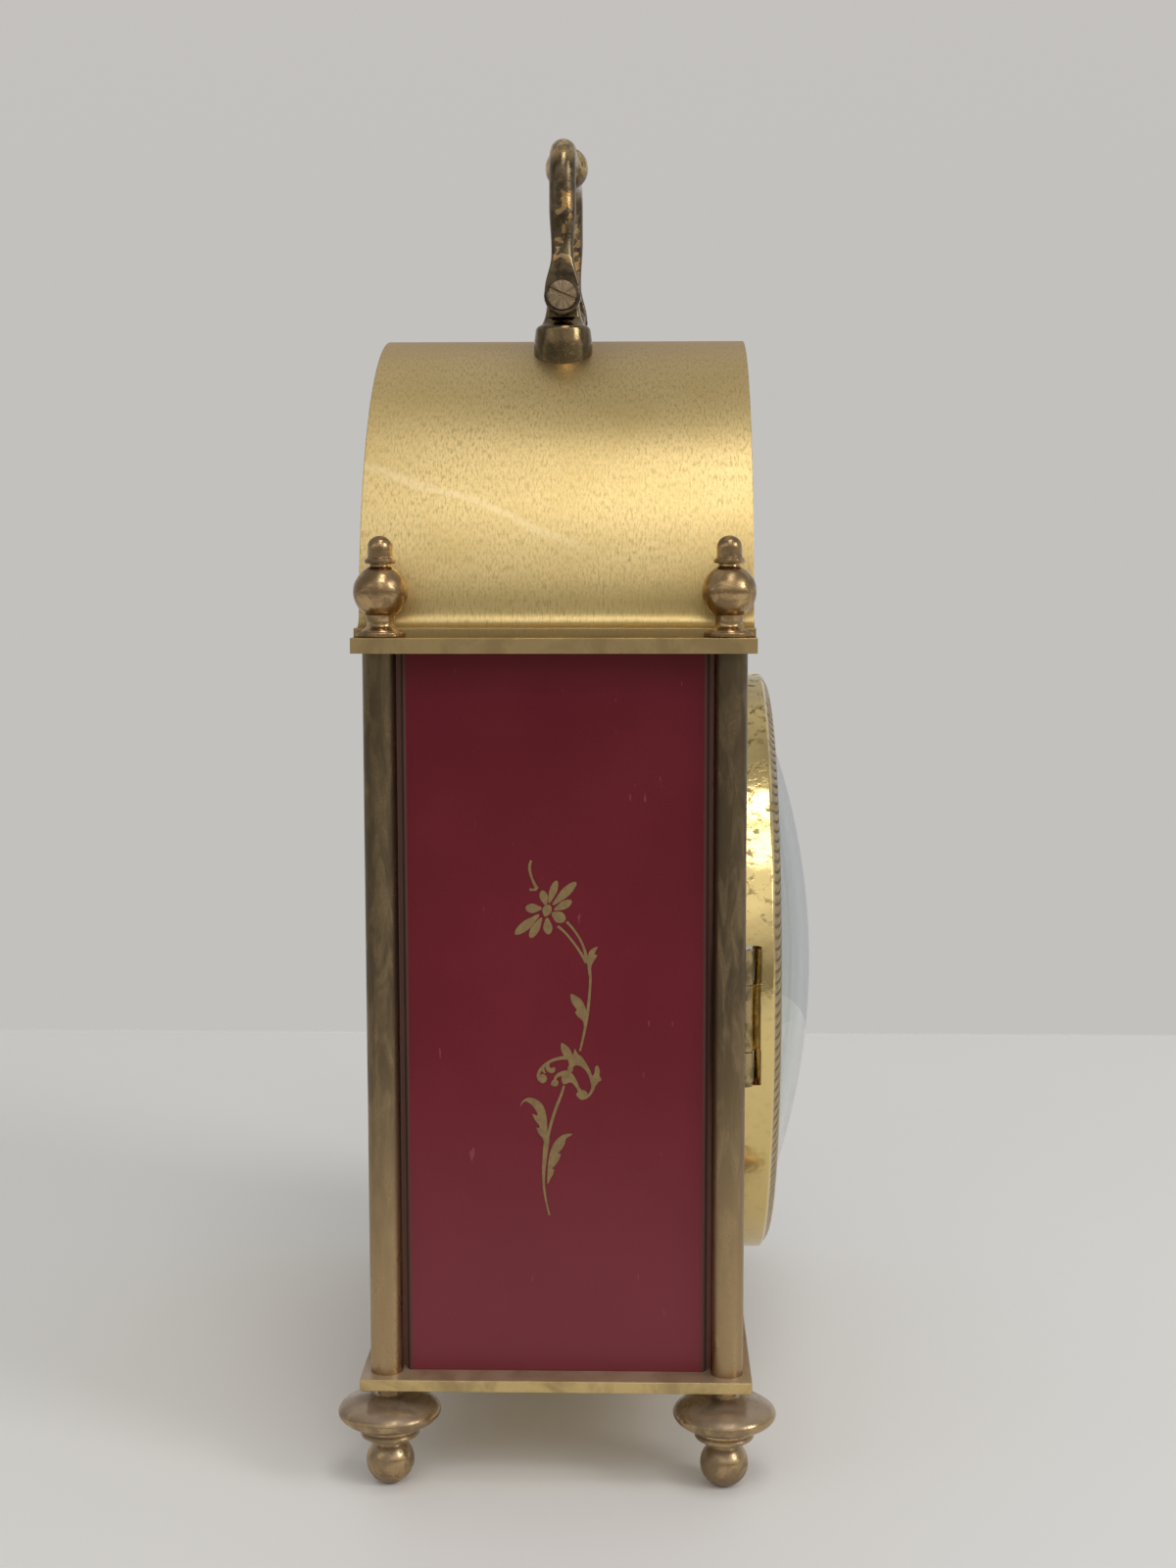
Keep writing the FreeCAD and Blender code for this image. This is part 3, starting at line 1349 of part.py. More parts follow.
def build_movement_plates():
    """The two plates, drilled for the pivots, the pillars and the balance."""
    half = s.movement_half_width
    height = movement_top - movement_bottom
    outline = rectangle(-half, as_size(0), half, height)
    pivot = s.pivot_radius + s.running_play
    stud = s.pillar_stud_radius + s.stud_play

    def hole(place, radius):
        return ((place[0], place[1] - movement_bottom), radius)

    common_holes = [hole(place, stud) for place in pillar_places()]
    common_holes += [hole(at, pivot) for at in (intermediate_at, third_at, fourth_at, escape_at, lever_at)]
    common_holes.append(hole(barrel_at, s.winding_pivot_radius + s.running_play))
    front = common_holes + [
        hole(centre_at, s.arbor_radius + s.running_play),
        hole(balance_at, s.staff_pivot_radius + s.running_play),
    ]
    rear = common_holes + [hole(centre_at, pivot), hole(balance_at, s.balance_window_radius)]
    thick = s.movement_plate_thickness
    plate = padded("movement_front_body", "XZ_Plane", thick, [outline], front)
    stud_back = movement_front_reach
    studs = []
    for name, at, length in (
        ("minute_wheel_stud", minute_wheel_at, hour_wheel_back + s.wheel_thickness - stud_back),
        ("click_stud", click_at, ratchet_back + s.ratchet_thickness - stud_back),
    ):
        radius = s.arbor_radius if name == "minute_wheel_stud" else s.click_pivot_radius
        studs.append(rod(name, radius, length + thick / 2,
                         (at[0], -thick / 2, at[1] - movement_bottom), FORWARD))
    piece(fused("movement_front_solid", plate, *studs), "movement_front_plate", 0,
          -movement_front_back, movement_bottom)
    piece(padded("movement_rear_body", "XZ_Plane", thick, [outline], rear),
          "movement_rear_plate", 0, -movement_rear_back, movement_bottom)


def build_pillars():
    """Turned pillars between the plates, and standoffs that carry the movement on the panel."""
    thick = s.movement_plate_thickness
    gap = s.small_gap / 2
    pillars = []
    standoffs = []
    front_stud = thick + s.stud_reach / 2
    space = panel_back - movement_front_reach
    for number, (x, z) in enumerate(pillar_places(), start=1):
        name = "pillar_%d" % number
        body = rod(name + "_body", s.pillar_radius, movement_plate_spacing, (x, 0, z), FORWARD)
        rear = rod(name + "_rear", s.pillar_stud_radius, thick, (x, thick, z), FORWARD)
        front = rod(
            name + "_front", s.pillar_stud_radius, front_stud, (x, -movement_plate_spacing, z), FORWARD
        )
        pillars.append(fused(name, body, rear, front))
        name = "standoff_%d" % number
        sleeve = rod(name + "_sleeve", s.standoff_radius, space, (x, 0, z), FORWARD)
        bore = rod(
            name + "_bore", s.pillar_stud_radius + s.stud_play, s.stud_reach / 2 + gap, (x, 0, z), FORWARD
        )
        standoffs.append(cut(name, sleeve, bore))
    group = doc.addObject("Part::Compound", "pillar_group")
    group.Links = pillars
    piece(group, "movement_pillars", 0, -movement_rear_front, 0)
    group = doc.addObject("Part::Compound", "standoff_group")
    group.Links = standoffs
    piece(group, "movement_standoffs", 0, -movement_front_reach, 0)


def spiral_strip(inner, pitch, turns, thickness, height):
    """A flat spring, wound in half turns about alternating centres."""
    def side(offset):
        edges = []
        for number in range(int(turns * 2)):
            over = number % 2 == 0
            radius = inner + offset + number * pitch / 2
            centre = 0.0 if over else pitch / 2
            way = 1 if over else -1
            start = Vector(centre + way * radius, 0, 0)
            middle = Vector(centre, 0, way * radius)
            end = Vector(centre - way * radius, 0, 0)
            edges.append(Part.Arc(start, middle, end).toShape())
        return edges

    inside = side(0.0)
    outside = side(thickness)
    ends = [
        Part.makeLine(inside[0].valueAt(inside[0].FirstParameter),
                      outside[0].valueAt(outside[0].FirstParameter)),
        Part.makeLine(inside[-1].valueAt(inside[-1].LastParameter),
                      outside[-1].valueAt(outside[-1].LastParameter)),
    ]
    wire = Part.Wire(Part.__sortEdges__(inside + outside + ends))
    return Part.Face(wire).extrude(Vector(0, -height, 0))


def build_barrel():
    """The drum with its great wheel, and the spring wound inside it."""
    back = great_wheel_back.value
    wheel = s.great_wheel_thickness.value
    wall = s.drum_wall.value
    drum = s.drum_radius.value
    length = drum_length.value
    play = s.running_play.value
    phase = towards(barrel_at, intermediate_at)
    shape = gear(s.barrel_teeth.value, s.barrel_module.value, wheel, back, phase)
    shape = shape.fuse(bar(drum, length, back + wheel))
    hollow = bar(drum - wall, length - wall, back + wheel)
    shape = shape.cut(hollow)
    bore = bar(s.winding_arbor_radius.value + play, (length + wheel) * 2, back - wheel)
    drawn("barrel_shape", "mainspring_barrel", shape.cut(bore).removeSplitter(), 0, 0, barrel_at[1])
    gap = s.small_gap.value
    height = length - wall - gap * 2
    spring = spiral_strip(
        s.spring_inner_radius.value, spring_pitch.value, s.spring_turns.value,
        s.spring_thickness.value, height,
    )
    spring_back = great_wheel_back + s.great_wheel_thickness + s.small_gap
    drawn("mainspring_shape", "mainspring", spring, 0, -spring_back, barrel_at[1])


def build_winding():
    """The winding arbor with its square, and the ratchet wheel on it."""
    shake = s.end_shake.value
    front = movement_front_back.value - shake
    rear = movement_rear_front.value + shake
    pivot = s.winding_pivot_radius.value
    thick = s.movement_plate_thickness.value
    shape = bar(s.winding_arbor_radius.value, front - rear, rear)
    shape = shape.fuse(bar(pivot, thick, rear - thick))
    shape = shape.fuse(bar(pivot, ratchet_back.value - front, front))
    side = s.winding_square_side.value
    end = winding_square_reach.value
    start = ratchet_back.value
    square = Part.makeBox(side, end - start, side, Vector(-side / 2, -end, -side / 2))
    drawn("winding_shape", "winding_arbor", shape.fuse(square).removeSplitter(), 0, 0, barrel_at[1])

    points = []
    teeth = int(s.ratchet_teeth.value)
    tip = s.ratchet_radius.value
    rootline = tip - s.ratchet_tooth_depth.value
    for number in range(teeth):
        angle = 2 * math.pi * number / teeth
        points.append((tip * math.cos(angle), tip * math.sin(angle)))
        points.append((rootline * math.cos(angle), rootline * math.sin(angle)))
    points = points[1:] + points[:1]
    ratchet = polygon(points, s.ratchet_thickness.value)
    square = Part.makeBox(
        side, s.ratchet_thickness.value * 3, side,
        Vector(-side / 2, -s.ratchet_thickness.value * 2, -side / 2),
    )
    drawn("ratchet_shape", "ratchet_wheel", ratchet.cut(square), 0, -ratchet_back, barrel_at[1])


def build_click():
    """The click stands just clear of the ratchet's teeth, with its spring clear above it."""
    thick = s.ratchet_thickness.value
    radius = s.click_radius.value
    gap = s.small_gap.value
    away = math.hypot(s.click_pivot_across.value, s.click_pivot_rise.value)
    clear = s.ratchet_radius.value + gap
    reach = math.sqrt(away * away - clear * clear)
    slope = math.asin(clear / away) - math.atan2(s.click_pivot_rise.value, s.click_pivot_across.value)
    turn = -math.degrees(slope)
    heel = s.click_heel_width.value
    nose = s.click_nose_width.value
    arm = polygon([(0.0, 0.0), (reach, 0.0), (reach, nose), (0.0, heel)], thick)
    shape = bar(radius, thick).fuse(arm)
    shape = shape.cut(bar(s.click_pivot_radius.value + s.running_play.value, thick * 3, -thick))
    shape.rotate(Vector(), Vector(0, 1, 0), turn)
    drawn("click_shape", "click", shape.removeSplitter(), click_at[0], -ratchet_back, click_at[1])
    wire = s.click_spring_width.value
    foot = s.click_spring_foot_radius.value
    low = max(radius, nose + reach * s.click_lift_share.value) + gap
    blade = polygon([(-radius * 2, low), (reach, low), (reach, low + wire), (-radius * 2, low + wire)], thick)
    spring = blade.fuse(bar(foot, thick, 0.0, -radius * 2, low + foot - wire))
    spring.rotate(Vector(), Vector(0, 1, 0), turn)
    drawn("click_spring_shape", "click_spring", spring.removeSplitter(), click_at[0], -ratchet_back,
          click_at[1])


def build_lever():
    """A pin-pallet lever: two pins beside the escape wheel and a fork towards the balance."""
    back = lever_back.value
    thick = s.wheel_thickness.value * 0.8
    centre = Vector(escape_at[0].value - lever_at[0].value, 0, escape_at[1].value - lever_at[1].value)
    fork = Vector(balance_at[0].value - lever_at[0].value, 0, balance_at[1].value - lever_at[1].value)
    shape = arbor(s.fine_arbor_radius.value)
    shape = shape.fuse(bar(s.arbor_radius.value * 1.8, thick, back))
    pin_radius = s.staff_pivot_radius.value
    ring = s.escape_radius.value + s.end_shake.value * 3 + pin_radius
    facing = math.atan2(-centre.z, -centre.x)
    pin_length = back - escape_wheel_back.value + thick
    for spread in (-math.pi / 6, math.pi / 6):
        angle = facing + spread
        x = centre.x + ring * math.cos(angle)
        z = centre.z + ring * math.sin(angle)
        shape = shape.fuse(bar(pin_radius, pin_length, escape_wheel_back.value, x, z))
        shape = shape.fuse(link(Vector(), Vector(x, 0, z), pin_radius * 2.2, thick, back))
    tip = fork * s.fork_root_share.value
    shape = shape.fuse(link(Vector(), tip, pin_radius * 2.2, thick, back))
    across = Vector(-fork.z, 0, fork.x).normalize()
    for side in (-1, 1):
        horn = fork * s.fork_tip_share.value + across * side * pin_radius * 3
        shape = shape.fuse(link(tip, horn, pin_radius * 1.3, thick, back))
    drawn("lever_shape", "pallet_lever", shape.removeSplitter(), lever_at[0], 0, lever_at[1])


def link(start, end, half_width, thickness, back):
    """A round-ended bar between two places in the dial's plane."""
    along = (end - start).normalize()
    side = Vector(-along.z, 0, along.x) * half_width
    corners = [start + side, end + side, end - side, start - side]
    plate = polygon([(point.x, point.z) for point in corners], thickness)
    plate.translate(Vector(0, -back, 0))
    for place in (start, end):
        plate = plate.fuse(bar(half_width, thickness, back, place.x, place.z))
    return plate


def build_balance():
    """The balance wheel on its staff, its hairspring, the cock and the regulator index."""
    back = balance_back.value
    thick = s.balance_thickness.value
    outer = s.balance_radius.value
    rim = bar(outer, thick, back).cut(bar(outer - s.balance_rim_width.value, thick, back))
    half = s.balance_arm_half_width.value
    inner = outer - s.balance_rim_width.value / 2
    arm = Part.makeBox(inner * 2, thick, half * 2, Vector(-inner, -back - thick, -half))
    shake = s.end_shake.value
    front = movement_front_back.value - shake
    rear = movement_rear_back.value + shake
    pivot = s.staff_pivot_radius.value
    staff = bar(s.staff_radius.value, front - rear, rear)
    staff = staff.fuse(bar(pivot, s.movement_plate_thickness.value, front))
    staff = staff.fuse(bar(pivot, s.movement_plate_thickness.value, rear - s.movement_plate_thickness.value))
    fork_back = lever_back.value
    roller = s.roller_radius.value
    roller_thick = thick / 2
    roller_back = fork_back - s.small_gap.value - roller_thick * 2
    shape = rim.fuse(arm).fuse(staff).fuse(bar(roller, roller_thick, roller_back))
    facing = towards(balance_at, lever_at)
    pin = bar(pivot, roller_thick, roller_back + roller_thick,
              roller * 0.7 * math.cos(facing), roller * 0.7 * math.sin(facing))
    shape = shape.fuse(pin).removeSplitter()
    drawn("balance_shape", "balance_wheel", shape, balance_at[0], 0, balance_at[1])

    spring = spiral_strip(
        s.hairspring_inner_radius.value, s.hairspring_pitch.value, s.hairspring_turns.value,
        s.hairspring_thickness.value, s.hairspring_height.value,
    )
    tall = s.hairspring_height.value
    collet = bar(s.hairspring_inner_radius.value + s.hairspring_thickness.value / 2, tall)
    collet = collet.cut(bar(s.staff_radius.value, tall))
    spring = spring.fuse(collet).removeSplitter()
    spring_back = balance_back - s.hairspring_height - s.small_gap * 3
    drawn("hairspring_shape", "hairspring", spring, balance_at[0], -spring_back, balance_at[1])

    long = s.cock_half_length
    wide = s.cock_half_width
    bridge = block("cock_bar", long * 2, s.cock_thickness, wide * 2, (-long, 0, -wide))
    height = s.cock_boss_height + s.cock_thickness
    boss = rod("cock_boss", s.cock_boss_radius, height, (0, height, 0), FORWARD)
    hole = rod(
        "cock_hole", s.staff_pivot_radius + s.running_play, s.cock_thickness + s.overrun,
        (0, s.cock_thickness, 0), FORWARD,
    )
    cock = cut("cock_solid", fused("cock_joined", bridge, boss), hole)
    piece(cock, "balance_cock", balance_at[0], -movement_rear_back, balance_at[1])

    disc = rod("index_disc", s.index_radius, s.index_thickness, (0, 0, 0), FORWARD)
    tail = block(
        "index_tail", s.index_half_width * 2, s.index_thickness, s.index_length,
        (-s.index_half_width, -s.index_thickness, 0),
    )
    bore = rod(
        "index_bore", s.cock_boss_radius + s.running_play, s.index_thickness + s.overrun * 2,
        (0, s.overrun, 0), FORWARD,
    )
    index = cut("index_solid", fused("index_joined", disc, tail), bore)
    index_y = -movement_rear_back + s.cock_thickness + s.index_thickness + s.small_gap / 2
    piece(index, "regulator_index", balance_at[0], index_y, balance_at[1])


def check_and_write():
    """Stop at any failed feature or broken solid, and otherwise write each sub-part."""
    doc.recompute()
    failed = [o.Label for o in doc.Objects if "Invalid" in o.State or "Error" in o.State]
    for obj in pieces:
        if obj.Shape.isNull() or not obj.Shape.isValid() or not obj.Shape.Solids:
            failed.append(obj.Label)
    if failed:
        raise RuntimeError("these did not build: " + ", ".join(failed))
    os.makedirs("parts", exist_ok=True)
    for obj in pieces:
        obj.Shape.exportStep("parts/%s.step" % obj.Label)
    box = FreeCAD.BoundBox()
    for obj in pieces:
        box.add(obj.Shape.BoundBox)
    print("%d sub-parts, box %.2f x %.2f x %.2f mm, from %.2f %.2f %.2f" % (
        len(pieces), box.XLength, box.YLength, box.ZLength, box.XMin, box.YMin, box.ZMin))


build_plates()
for corner_name, corner_x, corner_y in CORNERS:
    build_column(corner_name, corner_x, corner_y)
    build_foot(corner_name, corner_x, corner_y)
    build_finial(corner_name, corner_x, corner_y)
build_side_panel("left_side_panel", -1)
build_side_panel("right_side_panel", 1)
build_front_panel()
build_rear_cover()
build_arched_top()
build_handle_post("left_handle_post", -1)
build_handle_post("right_handle_post", 1)
build_handle_screws()
build_bail()
build_bezel()
build_glass()
build_retainer()
build_hinge()
build_catch()
build_dial()
build_hands()
build_movement_plates()
build_pillars()
build_train()
build_motion_work()
build_barrel()
build_winding()
build_click()
build_lever()
build_balance()
check_and_write()
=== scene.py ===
import json
import math
import bmesh
import bpy
from mathutils import Matrix, Vector


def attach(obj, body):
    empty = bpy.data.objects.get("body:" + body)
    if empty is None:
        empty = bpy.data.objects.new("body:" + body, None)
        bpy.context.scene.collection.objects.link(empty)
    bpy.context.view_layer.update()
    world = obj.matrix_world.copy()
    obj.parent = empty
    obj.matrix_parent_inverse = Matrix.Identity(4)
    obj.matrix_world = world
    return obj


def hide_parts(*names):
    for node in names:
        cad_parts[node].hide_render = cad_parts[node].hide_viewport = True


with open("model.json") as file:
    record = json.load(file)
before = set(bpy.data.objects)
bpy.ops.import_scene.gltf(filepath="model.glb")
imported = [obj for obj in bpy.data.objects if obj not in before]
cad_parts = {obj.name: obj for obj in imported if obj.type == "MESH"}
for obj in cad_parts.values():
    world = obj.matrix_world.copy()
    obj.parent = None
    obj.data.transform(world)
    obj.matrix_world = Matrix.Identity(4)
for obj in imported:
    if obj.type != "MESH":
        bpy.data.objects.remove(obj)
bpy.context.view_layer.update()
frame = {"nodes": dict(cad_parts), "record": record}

MM = 0.001
NODES = frame["nodes"]

# Places and lengths in mm of the row frame
CASE_Y = 4.75  # the case's own middle lies this far behind the frame's
PANEL_HALF = 25.8  # half the depth of a side panel's flat face
PLATE_TOP = 148.8  # the top plate's upper face
ARCH_RADIUS, ARCH_Z = 56.0, 147.59  # the arched sheet's outer radius and the height of its middle
ARCH_HALF = 33.9  # half the depth of the arched sheet
PIVOT_Z = 209.8  # the height of the handle's screws
DIAL_Z = 82.5  # the height of the dial's and the bezel's middle
DIAL_FRONT = -28.6 - 1.0 + CASE_Y  # the dial's front face
WINDING_Z = 50.0  # the height of the winding hole
BAND_OUT, BAND_IN = 56.2, 53.6  # radii of the bezel's engraved band
STROKES = 180  # engraved strokes round the band


# ---------------------------------------------------------------- materials

class Tree:
    """Short calls for the nodes of a material or of the world."""

    def __init__(self, tree):
        self.tree = tree

    def add(self, kind, **values):
        node = self.tree.nodes.new(kind)
        for key, value in values.items():
            setattr(node, key, value)
        return node

    def feed(self, socket, value):
        if isinstance(value, bpy.types.NodeSocket):
            self.tree.links.new(value, socket)
        elif isinstance(value, (tuple, list)) and len(value) == 3 and socket.type == "RGBA":
            socket.default_value = (*value, 1.0)
        else:
            socket.default_value = value

    def fed(self, node, *values):
        """The node, with its first sockets fed in turn."""
        for socket, value in zip(node.inputs, values):
            self.feed(socket, value)
        return node

    def calc(self, operation, *values, clamp=False):
        return self.fed(self.add("ShaderNodeMath", operation=operation, use_clamp=clamp), *values).outputs[0]

    def times(self, a, b):
        return self.calc("MULTIPLY", a, b)

    def plus(self, a, b):
        return self.calc("ADD", a, b)

    def minus(self, a, b):
        return self.calc("SUBTRACT", a, b)

    def size(self, a):
        return self.calc("ABSOLUTE", a)

    def reach(self, a, b):
        """How far the point (a, b) lies from the middle."""
        return self.calc("SQRT", self.plus(self.times(a, a), self.times(b, b)))

    def parts(self, vector):
        return self.fed(self.add("ShaderNodeSeparateXYZ"), vector).outputs[:3]

    def mix(self, share, a, b, way="MIX"):
        node = self.add("ShaderNodeMix", data_type="RGBA", blend_type=way)
        for number, value in ((0, share), (6, a), (7, b)):
            self.feed(node.inputs[number], value)
        return node.outputs[2]


class Shade(Tree):
    """A node material in the making. Places are in millimetres of the row frame."""

    def __init__(self, name, **constants):
        self.material = bpy.data.materials.new(name)
        self.material.use_nodes = True
        super().__init__(self.material.node_tree)
        self.surface = self.tree.nodes["Principled BSDF"]
        for socket, value in constants.items():
            self.surface.inputs[socket.replace("_", " ")].default_value = value
        place = self.add("ShaderNodeTexCoord").outputs["Object"]
        self.place = self.vector("SCALE", place, scale=1000.0)
        self.bumped = None

    def vector(self, operation, a, b=None, scale=None):
        node = self.fed(self.add("ShaderNodeVectorMath", operation=operation), a)
        if b is not None:
            self.feed(node.inputs[1], b)
        if scale is not None:
            node.inputs["Scale"].default_value = scale
        return node.outputs["Value" if operation == "DOT_PRODUCT" else "Vector"]

    def joined(self, x, y, z):
        return self.fed(self.add("ShaderNodeCombineXYZ"), x, y, z).outputs[0]

    def noise(self, scale, detail=3.0, rough=0.55, stretch=(1, 1, 1), place=None, twist=0.0):
        node = self.add("ShaderNodeTexNoise")
        moved = self.vector("MULTIPLY", self.place if place is None else place, stretch)
        self.feed(node.inputs["Vector"], moved)
        for socket, value in (("Scale", scale), ("Detail", detail), ("Roughness", rough), ("Distortion", twist)):
            node.inputs[socket].default_value = value
        return node.outputs["Fac"]

    def span(self, value, low, high, to_low=0.0, to_high=1.0):
        """Runs smoothly from to_low to to_high while the value goes from low to high."""
        node = self.add("ShaderNodeMapRange", interpolation_type="SMOOTHSTEP")
        return self.fed(node, value, low, high, to_low, to_high).outputs[0]

    def normal(self):
        """The three parts of the true normal."""
        return self.parts(self.add("ShaderNodeNewGeometry").outputs["Normal"])

    def edges(self, radius):
        """1 on edges, 0 on flats, from a rounded normal against the true one."""
        bevel = self.add("ShaderNodeBevel", samples=4)
        bevel.inputs["Radius"].default_value = radius * MM
        flat = self.add("ShaderNodeNewGeometry").outputs["Normal"]
        if self.bumped is None:
            self.bumped = bevel.outputs[0]
        return self.calc("SUBTRACT", 1.0, self.vector("DOT_PRODUCT", bevel.outputs[0], flat), clamp=True)

    def bump(self, height, distance, strength=1.0):
        """Adds relief on top of the earlier one. The distance is in mm."""
        node = self.add("ShaderNodeBump")
        node.inputs["Distance"].default_value = distance * MM
        node.inputs["Strength"].default_value = strength
        self.feed(node.inputs["Height"], height)
        if self.bumped is not None:
            self.feed(node.inputs["Normal"], self.bumped)
        self.bumped = node.outputs[0]

    def finish(self, colour, rough):
        self.feed(self.surface.inputs["Base Color"], colour)
        self.feed(self.surface.inputs["Roughness"], rough)
        if self.bumped is not None:
            self.feed(self.surface.inputs["Normal"], self.bumped)
        return self.material


BRIGHT = (0.76, 0.56, 0.26)
BROWN = (0.085, 0.06, 0.035)


def brass(name, clean, dull, patches=(0.35, 0.42, 0.62), pits=0.35, rough=(0.16, 0.36), wear=0.5,
          radius=0.25, low=None, scratch=0.25, dusty=None):
    """Old lacquered brass: clean and dull patches, dark pits, fine scratches and bright edges."""
    s = Shade(name, Metallic=1.0)
    worn = s.span(s.edges(radius), 0.02, 0.25)
    scale, start, end = patches
    cloud = s.noise(scale, 5.0, 0.62, twist=0.6, stretch=(1, 1, 0.22) if low else (1, 1, 1))
    share = s.span(cloud, start, end)
    if low is not None:  # painted shade and light: darker higher up, lighter lower down: (height where it is lightest, height where it is darkest)
        height = s.parts(s.place)[2]
        share = s.times(s.span(cloud, start, end, 0.7, 1.0), s.span(height, *low, 0.1, 1.0))
    colour = s.mix(share, clean, dull)
    speck = s.span(s.noise(2.6, 4.0, 0.7), 0.60, 0.70)
    colour = s.mix(s.times(speck, pits), colour, BROWN)
    colour = s.mix(s.times(worn, wear), colour, BRIGHT)
    rough_from = start
    if dusty:  # a dull brown film on upward faces: normals where it starts and is full, its colour, its cover
        first, full, film_colour, cover_share = dusty
        rough_from = first  # the step between smooth and rough patches is sharper here
        film = s.times(s.span(s.normal()[2], first, full), s.span(cloud, 0.3, 0.7, 1.0, 0.55))
        colour = s.mix(s.times(film, 0.85), colour, film_colour)
        s.feed(s.surface.inputs["Metallic"], s.minus(1.0, s.times(film, cover_share)))
    fine = s.noise(9.0, 2.0, 0.6, stretch=(1.0, 1.0, 0.12))
    gloss = s.plus(s.span(cloud, rough_from, end, *rough), s.times(fine, 0.08))
    s.bump(s.plus(s.times(fine, scratch), s.times(speck, -0.8)), 0.02)
    s.bump(s.noise(0.5, 2.0, 0.5), 0.12, 0.35)
    return s.finish(colour, gloss)


def make_vault():
    """Satin brass sheet: short dark flecks along the bend, one faint long scratch, a crown painted browner as
    painted reflection, and painted shade on the flare and on the flange above the plate.
    """
    s = Shade("arch_satin_brass", Metallic=1.0, Anisotropic=0.35)
    x, y, z = s.parts(s.place)
    angle = s.calc("ARCTAN2", s.minus(z, 147.6), s.size(x))
    along = s.times(angle, ARCH_RADIUS)
    round_it = s.joined(y, along, 0.0)
    s.edges(0.3)
    fleck = s.noise(1.0, 4.0, 0.72, stretch=(2.5, 0.66, 1.0), place=round_it)
    fine = s.noise(1.0, 3.0, 0.7, stretch=(5.0, 1.2, 1.0), place=round_it)
    cloud = s.noise(0.045, 4.0, 0.6, place=round_it, twist=0.4)
    crown = s.span(angle, 0.95, 1.5)
    colour = s.mix(s.span(cloud, 0.35, 0.7), (0.76, 0.575, 0.265), (0.69, 0.51, 0.215))
    # painted reflection: the crown is painted browner
    colour = s.mix(s.times(crown, 0.9), colour, (0.54, 0.37, 0.20))
    dark = s.times(s.span(fleck, 0.47, 0.66), s.span(cloud, 0.3, 0.62, 0.85, 0.45))
    colour = s.mix(dark, colour, (0.38, 0.285, 0.108))
    colour = s.mix(s.times(s.span(fine, 0.47, 0.7), 0.5), colour, (0.40, 0.30, 0.13))
    spot = s.span(s.noise(0.42, 3.0, 0.5, place=round_it), 0.76, 0.80)
    colour = s.mix(spot, colour, (0.22, 0.15, 0.06))
    line = s.plus(s.plus(along, s.times(y, -0.42)), s.times(s.noise(0.06, 2.0, 0.5, place=round_it), 5.0))
    scratch = s.times(s.span(s.size(s.minus(line, 19.0)), 0.2, 1.2, 1.0, 0.0), s.span(y, -6.0, 10.0, 0.0, 0.4))
    colour = s.mix(scratch, colour, (0.82, 0.66, 0.38))
    # painted shade: the flare low on the sheet and the flange strip just above the plate are painted darker
    foot = s.times(s.span(z, 153.0, 153.4, 0.65, 1.0), s.span(z, 154.5, 160.0, 0.4, 0.0))
    colour = s.mix(foot, colour, (0.40, 0.29, 0.11))
    colour = s.mix(s.span(z, 150.4, 151.4, 0.7, 0.0), colour, (0.36, 0.26, 0.12))
    s.bump(s.plus(fleck, s.times(fine, 0.6)), 0.03, 0.6)
    gloss = s.plus(s.span(fine, 0.2, 0.8, 0.36, 0.46), s.times(crown, 0.06))
    return s.finish(colour, gloss)


def make_lacquer():
    """Crimson lacquer with a fine sprayed grain and a few pale marks, painted light toward the bottom, painted shade
    toward the top and painted shade in the gaps beside the columns.
    """
    s = Shade("crimson_satin_lacquer", Specular_IOR_Level=0.2)
    x, y, z = s.parts(s.place)
    s.edges(0.3)
    grain = s.noise(3.2, 3.0, 0.6)
    cloud = s.noise(0.05, 3.0, 0.5)
    colour = s.mix(s.span(cloud, 0.3, 0.7), (0.142, 0.0085, 0.0165), (0.165, 0.0115, 0.0215))
    colour = s.mix(s.span(grain, 0.35, 0.7, 0.0, 0.35), colour, (0.098, 0.006, 0.011))
    # painted light and shade: the lacquer is painted lighter toward the bottom and darker toward the top
    colour = s.mix(s.span(z, 20.0, 85.0, 0.6, 0.0), colour, (0.215, 0.048, 0.060))
    colour = s.mix(s.span(z, 80.0, 145.0, 0.0, 0.3), colour, (0.055, 0.006, 0.010))
    # painted shade in the gap between the panel and the column: the edge strip of the flat face is painted near
    # black, the return flange deeper in a dull brown-red
    fold = s.span(s.size(s.minus(y, CASE_Y)), PANEL_HALF - 0.6, PANEL_HALF - 0.2)
    fold = s.times(fold, s.span(s.size(x), 57.1, 57.5))
    rim = s.span(s.size(x), 60.4, 61.0)
    colour = s.mix(fold, colour, s.mix(rim, (0.34, 0.17, 0.13), (0.10, 0.05, 0.04)))
    mark = s.times(s.span(s.noise(0.5, 2.0, 0.5, stretch=(1, 1.6, 0.35)), 0.735, 0.755), 0.5)
    colour = s.mix(mark, colour, (0.30, 0.07, 0.08))
    s.bump(grain, 0.03, 0.35)
    s.bump(s.noise(0.12, 2.0, 0.5), 0.25, 0.2)
    gloss = s.plus(s.span(cloud, 0.3, 0.7, 0.28, 0.35), s.times(fold, 0.6))
    return s.finish(colour, gloss)


